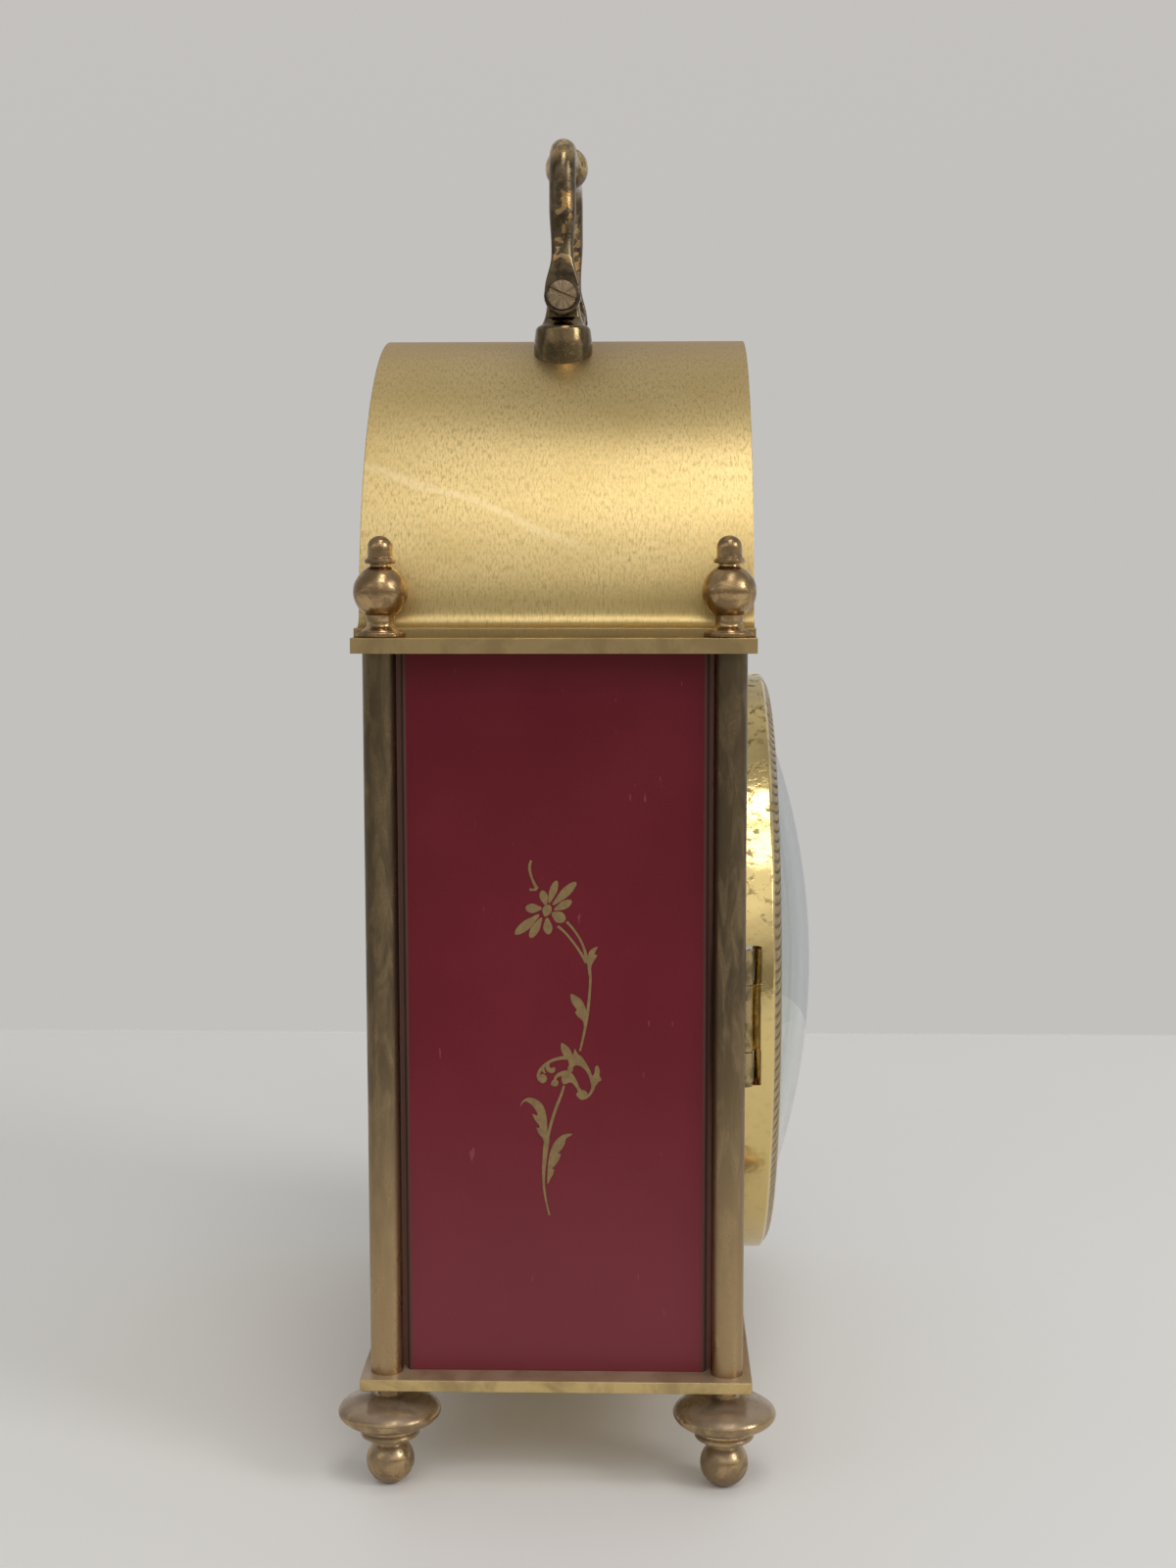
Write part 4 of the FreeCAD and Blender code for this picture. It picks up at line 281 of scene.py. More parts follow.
def make_bezel():
    """Polished drum with dark pits in its upper half, and a brown, dirt-filled engraved rim."""
    s = Shade("bezel_polished_brass", Metallic=1.0)
    x, y, z = s.parts(s.place)
    rise = s.minus(z, DIAL_Z)
    out = s.reach(x, rise)
    upper = s.span(z, 72.0, 118.0, 0.12, 1.0)
    pit = s.span(s.noise(0.5, 3.0, 0.55, twist=0.3), 0.53, 0.68)
    small = s.span(s.noise(2.1, 3.0, 0.6), 0.62, 0.72)
    dirt = s.times(s.calc("MAXIMUM", pit, s.times(small, 0.7)), upper)
    haze = s.times(s.span(s.noise(0.09, 3.0, 0.5), 0.35, 0.7), upper)
    colour = s.mix(s.times(haze, 0.75), (0.78, 0.60, 0.255), (0.47, 0.35, 0.17))
    colour = s.mix(s.times(dirt, 0.72), colour, (0.15, 0.11, 0.05))
    front = s.span(y, -33.45, -33.15, 1.0, 0.0)
    band = s.times(front, s.span(out, 53.2, 53.7))
    step = s.calc("DIVIDE", s.minus(BAND_OUT, out), BAND_OUT - BAND_IN)
    phase = s.times(s.calc("ARCTAN2", rise, x), STROKES / (2 * math.pi))
    phase = s.plus(phase, s.times(step, 0.9))
    bow = s.calc("SINE", s.times(step, math.pi))
    phase = s.minus(phase, s.times(bow, 0.25))
    ridge = s.size(s.calc("SINE", s.times(phase, math.pi)))
    grime = s.mix(s.span(ridge, 0.15, 0.8), (0.085, 0.06, 0.038), (0.47, 0.35, 0.19))
    grime = s.mix(s.span(s.noise(0.8, 3.0, 0.6), 0.35, 0.7, 0.0, 0.5), grime, (0.20, 0.14, 0.08))
    colour = s.mix(s.times(band, 0.9), colour, grime)
    # painted shade on the inside of the hinge's slot
    slot = s.times(s.span(s.size(rise), 12.8, 13.4, 1.0, 0.0), s.span(x, -50.0, -49.0, 1.0, 0.0))
    inside = s.times(s.span(out, 56.4, 56.7, 1.0, 0.0), s.span(y, -32.9, -32.5))
    colour = s.mix(s.times(slot, s.times(inside, 0.92)), colour, (0.05, 0.038, 0.025))
    s.bump(s.times(dirt, -1.0), 0.03, 0.7)
    s.bump(s.noise(0.22, 2.0, 0.5), 0.30, 0.28)
    gloss = s.plus(s.times(dirt, 0.3), s.times(band, 0.18))
    return s.finish(colour, s.plus(gloss, 0.13))


def make_handle():
    """Nearly black old brass, rubbed to gold on the grip's top and in spots along the legs."""
    s = Shade("handle_worn_brass", Metallic=1.0)
    z = s.parts(s.place)[2]
    cloud = s.noise(0.32, 3.0, 0.55, twist=0.7)
    colour = s.mix(s.span(cloud, 0.4, 0.62), (0.10, 0.075, 0.045), (0.165, 0.12, 0.07))
    out = s.size(s.normal()[0])
    legs = s.times(s.span(z, 214.5, 218.0), s.span(z, 226.5, 230.0, 1.0, 0.0))
    rub = s.span(s.noise(0.36, 2.0, 0.5, twist=1.0), 0.495, 0.56)
    rub = s.times(s.times(rub, legs), s.span(out, 0.45, 0.8))
    colour = s.mix(rub, colour, s.mix(s.span(s.noise(0.9), 0.4, 0.6), (0.56, 0.31, 0.11), (0.46, 0.33, 0.175)))
    top = s.times(s.span(z, 233.0, 237.5), s.span(s.noise(0.5, 4.0, 0.6), 0.38, 0.6, 0.2, 0.9))
    colour = s.mix(top, colour, (0.80, 0.56, 0.27))
    speck = s.span(s.noise(2.4, 4.0, 0.7), 0.58, 0.7)
    colour = s.mix(s.times(speck, 0.3), colour, BROWN)
    s.bump(s.noise(1.1, 4.0, 0.6), 0.10, 0.6)
    return s.finish(colour, s.span(cloud, 0.3, 0.7, 0.2, 0.36))


def make_screw():
    """A turned screw head: rings cut by the tool, and light and dark wedges round the middle, a painted reflection.
    """
    s = Shade("handle_screw_brass", Metallic=1.0)
    _, y, z = s.parts(s.place)
    dy = s.minus(y, CASE_Y)
    dz = s.minus(z, PIVOT_Z)
    angle = s.calc("ARCTAN2", dz, dy)
    # painted reflection: light and dark wedges round the middle of the turned face
    wedge = s.noise(1.0, 2.0, 0.5, place=s.joined(s.times(angle, 2.2), 0.0, 0.0))
    colour = s.mix(s.span(wedge, 0.35, 0.65), (0.46, 0.33, 0.205), (0.20, 0.15, 0.095))
    speck = s.span(s.noise(2.8, 3.0, 0.7), 0.55, 0.68)
    colour = s.mix(s.times(speck, 0.6), colour, BROWN)
    out = s.reach(dy, dz)
    colour = s.mix(s.span(out, 2.45, 2.75), colour, BROWN)
    s.bump(s.calc("SINE", s.times(out, 26.0)), 0.012, 0.6)
    s.bump(s.noise(1.6, 3.0, 0.6), 0.05, 0.5)
    return s.finish(colour, s.span(wedge, 0.3, 0.7, 0.28, 0.42))


def make_dial():
    """Warm white enamel, a little yellowed toward the edge, with hair-thin crazing."""
    s = Shade("dial_enamel", Coat_Weight=0.6, Coat_Roughness=0.12)
    x, _, z = s.parts(s.place)
    rise = s.minus(z, DIAL_Z)
    out = s.reach(x, rise)
    colour = s.mix(s.span(out, 20.0, 54.0), (0.80, 0.785, 0.735), (0.72, 0.685, 0.60))
    colour = s.mix(s.span(s.noise(0.12, 5.0, 0.6), 0.5, 0.75, 0.0, 0.5), colour, (0.66, 0.62, 0.52))
    s.bump(s.noise(0.8, 3.0, 0.5), 0.02, 0.3)
    return s.finish(colour, 0.34)


def make_paint(name, colour, other, rough):
    s = Shade(name)
    cloud = s.noise(1.4, 4.0, 0.6)
    s.edges(0.1)
    s.bump(cloud, 0.02, 0.5)
    return s.finish(s.mix(s.span(cloud, 0.35, 0.65), colour, other), s.span(cloud, 0.3, 0.7, rough, rough + 0.1))


def make_glass():
    """Clear domed glass with the faint green of old plate and a trace of haze."""
    s = Shade("domed_clear_glass", Transmission_Weight=1.0, IOR=1.47)
    haze = s.noise(0.08, 3.0, 0.5)
    return s.finish(s.mix(haze, (0.86, 0.91, 0.885), (0.90, 0.94, 0.92)), s.span(haze, 0.4, 0.8, 0.0, 0.05))


def make_steel(name, light, dark, rough, brushed=(1, 1, 1)):
    s = Shade(name, Metallic=1.0)
    worn = s.span(s.edges(0.12), 0.03, 0.3)
    lines = s.noise(5.0, 3.0, 0.6, stretch=brushed)
    cloud = s.noise(0.5, 4.0, 0.6)
    colour = s.mix(s.span(cloud, 0.35, 0.65), light, dark)
    colour = s.mix(s.times(worn, 0.5), colour, light)
    s.bump(lines, 0.015, 0.5)
    return s.finish(colour, s.span(lines, 0.3, 0.7, rough, rough + 0.12))


def make_gilt():
    """Gilt transfer: thin olive gold, uneven, rubbed to pink-brown on its thin lines."""
    s = Shade("gilt_transfer", Metallic=0.55)
    cloud = s.noise(0.9, 5.0, 0.65)
    colour = s.mix(s.span(cloud, 0.35, 0.65), (0.30, 0.205, 0.085), (0.24, 0.16, 0.072))
    gone = s.span(s.noise(5.0, 3.0, 0.7), 0.60, 0.72, 0.0, 0.6)
    colour = s.mix(gone, colour, (0.20, 0.075, 0.05))
    s.bump(s.noise(6.0, 2.0, 0.5), 0.01, 0.5)
    return s.finish(colour, s.span(cloud, 0.3, 0.7, 0.42, 0.55))


plate = brass("plate_brass_old", (0.66, 0.49, 0.22), (0.44, 0.32, 0.15), (0.10, 0.40, 0.62), 0.25,
              (0.30, 0.44), 0.35, 0.3, scratch=0.5, dusty=(0.6, 0.9, (0.38, 0.27, 0.205), 0.75))
cover = brass("cover_brass_old", (0.70, 0.525, 0.24), (0.61, 0.45, 0.20), (0.06, 0.38, 0.72), 0.15,
              (0.30, 0.42), 0.3, 0.3, scratch=0.5)
# painted shade: the top plate gets a darker copy of the plate brass
top_plate = brass("top_plate_brass_old_shaded", (0.47, 0.34, 0.155), (0.33, 0.235, 0.11), (0.10, 0.40, 0.62), 0.25,
                  (0.32, 0.46), 0.3, 0.3, scratch=0.5)
arch_end = brass("arch_end_brass", (0.72, 0.54, 0.245), (0.62, 0.46, 0.20), (0.06, 0.45, 0.66), 0.15,
                 (0.30, 0.42), 0.3, 0.3, scratch=0.5)
# the columns' brass, with painted shade higher up and painted light lower down
column = brass("column_brass_tarnished_shaded", (0.44, 0.31, 0.165), (0.115, 0.085, 0.05), (0.42, 0.33, 0.60), 0.4,
               (0.20, 0.33), 0.2, 0.2, low=(22.0, 92.0))
foot_brass = brass("foot_brass_dull", (0.46, 0.325, 0.175), (0.28, 0.20, 0.12), (0.22, 0.38, 0.62), 0.55,
                   (0.17, 0.36), 0.3, 0.2,
                   dusty=(0.4, 0.92, (0.37, 0.28, 0.20), 0.5))
finial_brass = brass("finial_brass_turned", (0.50, 0.335, 0.165), (0.25, 0.165, 0.085), (0.30, 0.38, 0.62), 0.5,
                     (0.13, 0.30), 0.3, 0.15)
post_brass = brass("post_brass_polished", (0.235, 0.165, 0.082), (0.11, 0.079, 0.039), (0.12, 0.38, 0.64), 0.05,
                   (0.07, 0.13), 0.35, 0.2)
hinge_brass = brass("hinge_brass_dull", (0.40, 0.30, 0.145), (0.20, 0.15, 0.075), (0.35, 0.40, 0.64), 0.4,
                    (0.20, 0.36), 0.4, 0.15)
small_brass = brass("small_brass_parts", (0.62, 0.45, 0.2), (0.34, 0.25, 0.12), (0.6, 0.42, 0.66), 0.4,
                    (0.2, 0.36), 0.4, 0.12)
train_brass = brass("movement_brass_clean", (0.78, 0.58, 0.26), (0.60, 0.43, 0.19), (0.2, 0.45, 0.7), 0.15,
                    (0.18, 0.3), 0.3, 0.12)
vault = make_vault()
lacquer = make_lacquer()
bezel_metal = make_bezel()
handle_metal = make_handle()
screw_metal = make_screw()
enamel = make_dial()
hand_black = make_paint("hand_black_lacquer", (0.012, 0.012, 0.013), (0.025, 0.023, 0.022), 0.28)
print_black = make_paint("dial_print_black", (0.022, 0.021, 0.020), (0.040, 0.037, 0.034), 0.45)
glass = make_glass()
gilt = make_gilt()
steel = make_steel("screw_steel_aged", (0.44, 0.43, 0.41), (0.26, 0.24, 0.22), 0.26, (1, 1, 6))
spring = make_steel("spring_steel_blued", (0.20, 0.22, 0.27), (0.11, 0.12, 0.17), 0.22, (6, 1, 1))

SLOT_SHADES = {
    "plate_brass": plate, "aged_brass": column, "turned_brass": finial_brass, "satin_brass": vault,
    "bezel_brass": bezel_metal, "crimson_lacquer": lacquer, "dial_white": enamel, "hand_black": hand_black,
    "clear_glass": glass, "movement_brass": train_brass, "screw_steel": steel, "spring_steel": spring,
}
slot_of = {part["node"]: part["material_slot"] for part in frame["record"]["subparts"]}
OWN_SHADE = {"case_hinge_leaf": hinge_brass, "bezel_hinge_leaf": hinge_brass, "hinge_pin": steel,
             "bezel_catch": small_brass, "hand_nut": small_brass, "top_plate": top_plate, "rear_cover": cover,
             "front_arch_panel": arch_end, "rear_arch_panel": arch_end}
for node, obj in NODES.items():
    shade = OWN_SHADE.get(node) or SLOT_SHADES[slot_of[node]]
    if not obj.data.materials:
        obj.data.materials.append(shade)
    for number in range(len(obj.data.materials)):
        obj.data.materials[number] = shade


# ---------------------------------------------------------------- shapes

new_pieces = []


def new_piece(name, points, faces, body, shade, slot, replaces=(), crease=32.0):
    """A mesh from points in mm, riding on a body. Edges sharper than the crease angle stay sharp."""
    mesh = bpy.data.meshes.new(name)
    mesh.from_pydata([(x * MM, y * MM, z * MM) for x, y, z in points], [], faces)
    mesh.validate()
    mesh.shade_smooth()
    mesh.set_sharp_from_angle(angle=math.radians(crease))
    mesh.materials.append(shade)
    obj = bpy.data.objects.new(name, mesh)
    bpy.context.scene.collection.objects.link(obj)
    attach(obj, body)
    if replaces:
        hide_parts(*replaces)
    new_pieces.append(obj)


def arc(r, h, radius, start, end, count=14, squash=1.0):
    """Points (r, h) round a circle in the profile's plane, angles in degrees from the r axis."""
    out = []
    for i in range(count + 1):
        a = math.radians(start + (end - start) * i / count)
        out.append((r + radius * math.cos(a), h + radius * squash * math.sin(a)))
    return out


def skin(rows, count, start=0):
    """Four-sided faces between closed rings of points, which are numbered from start on."""
    faces = []
    for row in range(rows - 1):
        for i in range(count):
            a, b = start + row * count + i, start + row * count + (i + 1) % count
            faces.append((a, b, b + count, a + count))
    return faces


def wrap(columns, rows):
    """Four-sided faces over columns of points that close both ways, as on a ring."""
    faces = []
    for i in range(columns):
        j = (i + 1) % columns
        for row in range(rows):
            after = (row + 1) % rows
            faces.append((i * rows + row, i * rows + after, j * rows + after, j * rows + row))
    return faces


def lathe(profile, centre, axis="z", count=72, change=None):
    """Points and faces of a turned shape: profile is (r, h) along the axis, ends on the axis closed."""
    points = []
    for r, h in profile:
        for i in range(count):
            a = 2 * math.pi * i / count
            c, d = r * math.cos(a), r * math.sin(a)
            local = (h, c, d) if axis == "x" else (c, d, h)
            spot = [local[k] + centre[k] for k in range(3)]
            points.append(tuple(change(*spot) if change else spot))
    faces = skin(len(profile), count)
    faces.append(tuple(range(count - 1, -1, -1)))
    faces.append(tuple((len(profile) - 1) * count + i for i in range(count)))
    return points, faces


def gather(*shapes):
    """Several shapes as one."""
    points, faces = [], []
    for more_points, more_faces in shapes:
        start = len(points)
        points += more_points
        faces += [tuple(i + start for i in face) for face in more_faces]
    return points, faces


CORNERS = {"front_left": (-61.75, -24.65), "front_right": (61.75, -24.65),
           "rear_left": (-61.75, 34.15), "rear_right": (61.75, 34.15)}

# Columns: plain shafts between the plates, a little nearer the front and the rear edge than the solids
COLUMN_RADIUS, COLUMN_SHIFT = 2.85, 0.35
for place, (x, y) in CORNERS.items():
    ends = [corner[2] / MM for corner in NODES[place + "_column"].bound_box]
    profile = [(0.3, min(ends)), (COLUMN_RADIUS, min(ends)), (COLUMN_RADIUS, max(ends)), (0.3, max(ends))]
    shaft = lathe(profile, (x, y + math.copysign(COLUMN_SHIFT, y - CASE_Y), 0.0))
    new_piece("corner_shaft_" + place, *shaft, "case", column, "aged_brass", [place + "_column"])

# Feet: ball, waist, step, flattened disc with a soft rim, neck
foot_profile = (
    [(0.3, 0.0), (1.05, 0.0)] + arc(0, 4.08, 4.22, -75.2, 50.0, 24)
    + [(2.66, 7.5), (2.66, 8.5), (3.2, 8.68), (4.6, 8.72)] + arc(4.75, 9.2, 0.48, -85.0, 60.0, 8)
    + [(5.1, 9.75), (5.35, 10.0), (5.6, 10.25)] + arc(0, 13.1, 9.0, -52.0, 74.0, 40, 1.0 / 3.0)
    + [(2.3, 16.1), (2.1, 16.3), (2.1, 18.28), (0.3, 18.28)])
# Finials: stepped ring, hollow flare, stem, ball, collar, skirted thimble with a dome
flare_curve = [(2.3 + 1.3 * (1 - math.sin(math.pi / 2 * k / 6)), 1.15 + 0.95 * (k / 6) ** 1.2) for k in range(1, 7)]
finial_profile = (
    [(0.3, 0.0), (4.2, 0.0), (4.4, 0.2), (4.4, 0.7), (4.2, 0.92), (3.75, 0.96), (3.6, 1.15)] + flare_curve
    + [(2.28, 2.6), (2.35, 3.4)] + arc(0, 7.6, 4.6, -58.0, 66.0, 26)
    + [(1.8, 11.95), (1.8, 12.3), (2.5, 12.38), (2.65, 12.55), (2.65, 12.95), (2.45, 13.15), (2.15, 13.35),
       (2.12, 14.8)] + arc(0, 15.0, 2.12, 0.0, 84.0, 10, 2.0 / 2.12))
for place, (x, y) in CORNERS.items():
    for kind, profile, bottom, shade in (("foot", foot_profile, 0.0, foot_brass),
                                         ("finial", finial_profile, PLATE_TOP, finial_brass)):
        new_piece("turned_" + kind + "_" + place, *lathe(profile, (x, y, bottom)), "case", shade, "turned_brass",
                  [place + "_" + kind])

# Handle posts: tapered drum with a soft shoulder, hollow bell, ball head milled flat under the eye
post_profile = (
    [(0.3, 197.0), (5.35, 197.0), (5.45, 197.2), (5.45, 200.8), (5.4, 201.8), (5.28, 202.7)]
    + arc(3.95, 203.55, 1.22, 2.0, 80.0, 10)
    + [(4.0, 204.9), (3.7, 205.4), (3.4, 206.2), (3.2, 207.1), (3.06, 208.2)]
    + arc(0, PIVOT_Z, 3.0, -8.0, 84.0, 18))
POST_X, EYE_FROM, EYE_X = 20.4, 206.15, 22.0  # the post's middle, and where the flat under the eye starts and lies


def on_arch(side):
    """Cuts a post's foot to the arch, and mills its head flat on the outer side."""
    def change(x, y, z):
        z = max(z, ARCH_Z + math.sqrt(ARCH_RADIUS ** 2 - min(x * x, 55.0 ** 2)))
        if z > EYE_FROM and side * x > EYE_X:
            x = side * EYE_X
        return x, y, z
    return change


for side, name in ((-1, "left"), (1, "right")):
    post = lathe(post_profile, (POST_X * side, CASE_Y, 0.0), count=64, change=on_arch(side))
    new_piece("turned_post_" + name, *post, "case", post_brass, "turned_brass", [name + "_handle_post"])


def make_arch_sheet():
    """The bent sheet: a large arc, two tight flares and two flanges on the plate, drawn out from front to back."""
    thick, flare, edge = 1.5, 2.7, 62.7
    flare_z = PLATE_TOP + thick + flare
    start = math.asin((flare_z - ARCH_Z) / (ARCH_RADIUS + flare))
    flare_x = (ARCH_RADIUS + flare) * math.cos(start)
    sides = []
    for offset in (0.0, -thick):
        bend, radius = flare - offset, ARCH_RADIUS + offset
        line = [(edge, PLATE_TOP + thick + offset)]
        line += [(flare_x - bend * math.sin(a), flare_z - bend * math.cos(a))
                 for a in [(math.pi / 2 - start) * k / 10 for k in range(11)]]
        line += [(radius * math.cos(a), ARCH_Z + radius * math.sin(a))
                 for a in [start + (math.pi / 2 - start) * k / 48 for k in range(1, 49)]]
        sides.append(line + [(-x, z) for x, z in reversed(line[:-1])])
    loop = sides[0] + sides[1][::-1]
    count = len(loop)
    front, rear = CASE_Y - ARCH_HALF, CASE_Y + ARCH_HALF
    rows = [front, front + 0.15] + [CASE_Y + ARCH_HALF * k / 6 for k in range(-5, 6)] + [rear - 0.15, rear]
    points = [(x, y, z) for y in rows for x, z in loop]
    faces = [(r * count + i, (r + 1) * count + i, (r + 1) * count + (i + 1) % count, r * count + (i + 1) % count)
             for r in range(len(rows) - 1) for i in range(count)]
    half = len(sides[0])
    for first in (0, (len(rows) - 1) * count):
        for i in range(half - 1):
            face = (first + i, first + i + 1, first + count - 2 - i, first + count - 1 - i)
            faces.append(face if first == 0 else face[::-1])
    return points, faces


new_piece("bent_arch_sheet", *make_arch_sheet(), "case", vault, "satin_brass", ["arched_top"])


def smooth_step(value, low, high):
    """Runs smoothly from 0 to 1 while the value goes from low to high."""
    t = min(1.0, max(0.0, (value - low) / (high - low)))
    return t * t * (3 - 2 * t)


def bail_sections():
    """Half of the handle, from the foot of the eye to the middle of the grip.

    Each section has its middle, its direction, its half widths along and across, and the power of its outline:
    2 is round, higher is squarer.
    """
    out = []
    eye, bar, bend, leg_x, top = 3.4, 2.45, 5.6, 22.2, 21.3
    heights = [-3.4 + 0.001, -3.36, -3.2, -2.9, -2.4, -1.7, -0.9, 0.0, 0.9, 1.7, 2.4, 3.1] + [
        3.1 + (top - 3.1) * k / 16 for k in range(1, 17)]
    for h in heights:
        lean = smooth_step(h, 3.0, 19.0)
        round_part = math.sqrt(max(0.0, eye * eye - h * h)) if h < 2.0 else 0.0
        leg_part = 2.05 + 1.2 * (1 - smooth_step(h, 1.0, 7.2)) + 0.4 * smooth_step(h, 8.5, 16.0)
        wide = round_part if h < 0.0 else max(round_part, leg_part)
        thick = 1.2 + 0.2 * smooth_step(h, 3.0, 7.0) + 1.05 * smooth_step(h, 8.0, 17.0)
        if h < -3.1:
            thick = 0.95
        power = 7.0 - 5.0 * smooth_step(h, 1.5, 9.0)
        out.append(((23.4 - 1.2 * lean, h), (1.0, 0.0), thick, wide, power))
    for k in range(1, 13):
        a = math.pi / 2 * k / 12
        centre = (leg_x - bend + bend * math.cos(a), top + bend * math.sin(a))
        out.append((centre, (math.cos(a), math.sin(a)), bar, bar, 2.0))
    for k in range(1, 33):
        x = (leg_x - bend) * (1 - k / 32)
        ball = math.sqrt(max(0.0, 4.15 ** 2 - x * x))
        r = max(ball, bar + 0.5 * math.exp(-((x - 4.1) / 0.55) ** 2))
        out.append(((x, 26.9), (0.0, 1.0), r, r, 2.0))
    return out


def make_bail():
    half = bail_sections()
    rings = [(-c[0], c[1], -n[0], n[1], a, b, p) for c, n, a, b, p in half[:-1]]
    rings += [(c[0], c[1], n[0], n[1], a, b, p) for c, n, a, b, p in reversed(half)]
    points, count = [], 40
    for cx, cz, nx, nz, a, b, power in rings:
        for i in range(count):
            t = 2 * math.pi * i / count
            c, d = math.cos(t), math.sin(t)
            u = a * math.copysign(abs(c) ** (2 / power), c)
            v = b * math.copysign(abs(d) ** (2 / power), d)
            points.append((cx + nx * u, CASE_Y + v, PIVOT_Z + cz + nz * u))
    faces = skin(len(rings), count)
    faces.append(tuple(range(count)))
    faces.append(tuple((len(rings) - 1) * count + i for i in range(count)))
    return points, faces


new_piece("carrying_handle", *make_bail(), "handle", handle_metal, "aged_brass", ["bail_handle"], 40.0)


# Handle screws: domed heads with a milled, tilted slot, and their shanks
def screw_head(side, tilt):
    """The head's face as rings of points, pressed in along the slot."""
    base, rise, radius, half = 24.8, 1.1, 2.8, 0.36
    points, count = [], 96
    radii = [radius, radius] + [radius - 0.12 - 0.14 * k for k in range(19)]
    for number, r in enumerate(radii):
        for i in range(count):
            a = 2 * math.pi * i / count
            y, z = r * math.cos(a), r * math.sin(a)
            if number == 0:
                h = base
            elif number == 1:
                h = base + rise - 0.3
            else:
                h = base + rise - 0.1 * (r / radius) ** 4
                across = -y * math.sin(tilt) + z * math.cos(tilt)
                h -= 0.45 * (1 - smooth_step(abs(across), half - 0.08, half + 0.06))
            points.append((side * h, CASE_Y + y, PIVOT_Z + z))
    faces = skin(len(radii), count)
    faces.append(tuple((len(radii) - 1) * count + i for i in range(count)))
    faces.append(tuple(range(count)))
    return points, faces


right_shank = lathe([(0.2, 18.4), (1.6, 18.4), (1.6, 24.85), (0.2, 24.85)], (0.0, CASE_Y, PIVOT_Z), "x", 32)
left_shank = [(-x, y, z) for x, y, z in right_shank[0]], right_shank[1]
heads = screw_head(-1, math.radians(23.0)), screw_head(1, math.radians(-48.0))
new_piece("slotted_handle_screws", *gather(*heads, right_shank, left_shank), "case", screw_metal, "aged_brass",
          ["handle_screws"], 30.0)


# Bezel: a drum with a soft front edge, a band of slanted leaf strokes, a beaded groove and a lip
def make_bezel_ring():
    drum, inner, back = 56.9, 55.4, -24.15
    knuckles, leaf = 5.9, 12.4  # half the heights of the two parts of the hinge's slot
    profile = [(drum, y, 0) for y in (back, -26.5, -29.0, -31.5, -32.75)]
    profile += [(r, y, 0) for r, y in arc(56.55, -32.75, 0.35, 0.0, -80.0, 4)]
    for k in range(11):
        t = k / 10
        y = -33.45 - 1.1 * math.sin(math.pi * 0.5 * t)
        profile.append((BAND_OUT + (BAND_IN - BAND_OUT) * t, y, 1 - abs(2 * t - 1)))
    profile += [(53.45, -34.62, 0), (53.1, -34.62, 0), (52.75, -34.35, 0), (52.4, -34.3, 0), (52.1, -34.5, 0),
                (51.6, -34.55, 0), (50.6, -34.3, 0), (50.1, -34.05, 0), (50.0, -33.8, 0), (50.0, -33.35, 0),
                (52.8, -32.3, 0), (inner, -32.3, 0), (inner, -28.0, 0), (inner, back, 0)]

    def slot_back(z):
        """How far back the drum reaches at this height over its middle, on the hinge's side."""
        if abs(z) < knuckles - 1e-6:
            return -29.40
        return -29.70 if abs(z) < leaf - 1e-6 else back

    turns = STROKES * 9
    angles = [2 * math.pi * i / turns for i in range(turns)]
    for edge in (knuckles, leaf):  # each end of the slot is a step between two near columns of points
        for sign in (1, -1):
            a = math.pi + sign * math.asin(edge / drum)
            angles += [a - 1e-5, a + 1e-5]
    angles.sort()
    points = []
    for a in angles:
        limit = slot_back(drum * math.sin(a)) if math.cos(a) < 0 else back
        for r, y, lift in profile:
            if lift:
                t = (BAND_OUT - r) / (BAND_OUT - BAND_IN)
                phase = STROKES * a / (2 * math.pi) + 0.9 * t - 0.25 * math.sin(math.pi * t)
                wave = abs(math.sin(math.pi * phase))
                y += 0.34 * lift ** 0.5 * (1 - wave ** 0.7)
            points.append((r * math.cos(a), min(y, limit), DIAL_Z + r * math.sin(a)))
    return points, wrap(len(angles), len(profile))


new_piece("engraved_bezel", *make_bezel_ring(), "bezel", bezel_metal, "bezel_brass", ["bezel_ring"], 28.0)


# Gilt floral spray on both side panels: closed outlines and tapered strokes, (toward the front, up) in mm
def curve_through(points, steps=6, closed=False):
    """A smooth line through the points."""
    out, count = [], len(points)
    for i in range(count if closed else count - 1):
        if closed:
            p = [points[(i + k - 1) % count] for k in range(4)]
        else:
            p = [points[min(max(i + k - 1, 0), count - 1)] for k in range(4)]
        for k in range(steps):
            t = k / steps
            out.append(tuple(0.5 * (2 * p[1][c] + (p[2][c] - p[0][c]) * t
                                    + (2 * p[0][c] - 5 * p[1][c] + 4 * p[2][c] - p[3][c]) * t * t
                                    + (3 * p[1][c] - p[0][c] - 3 * p[2][c] + p[3][c]) * t ** 3) for c in (0, 1)))
    if not closed:
        out.append(tuple(points[-1]))
    return out


def stroke(points, *widths):
    """The outline of a line whose width runs through the given values."""
    line = curve_through(points)
    left, right = [], []
    for i, (a, b) in enumerate(line):
        before, after = line[max(i - 1, 0)], line[min(i + 1, len(line) - 1)]
        da, db = after[0] - before[0], after[1] - before[1]
        size = math.hypot(da, db) or 1.0
        t = i / (len(line) - 1) * (len(widths) - 1)
        k = min(int(t), len(widths) - 2)
        half = (widths[k] + (widths[k + 1] - widths[k]) * (t - k)) / 2
        left.append((a - db / size * half, b + da / size * half))
        right.append((a + db / size * half, b - da / size * half))
    return left + right[::-1]


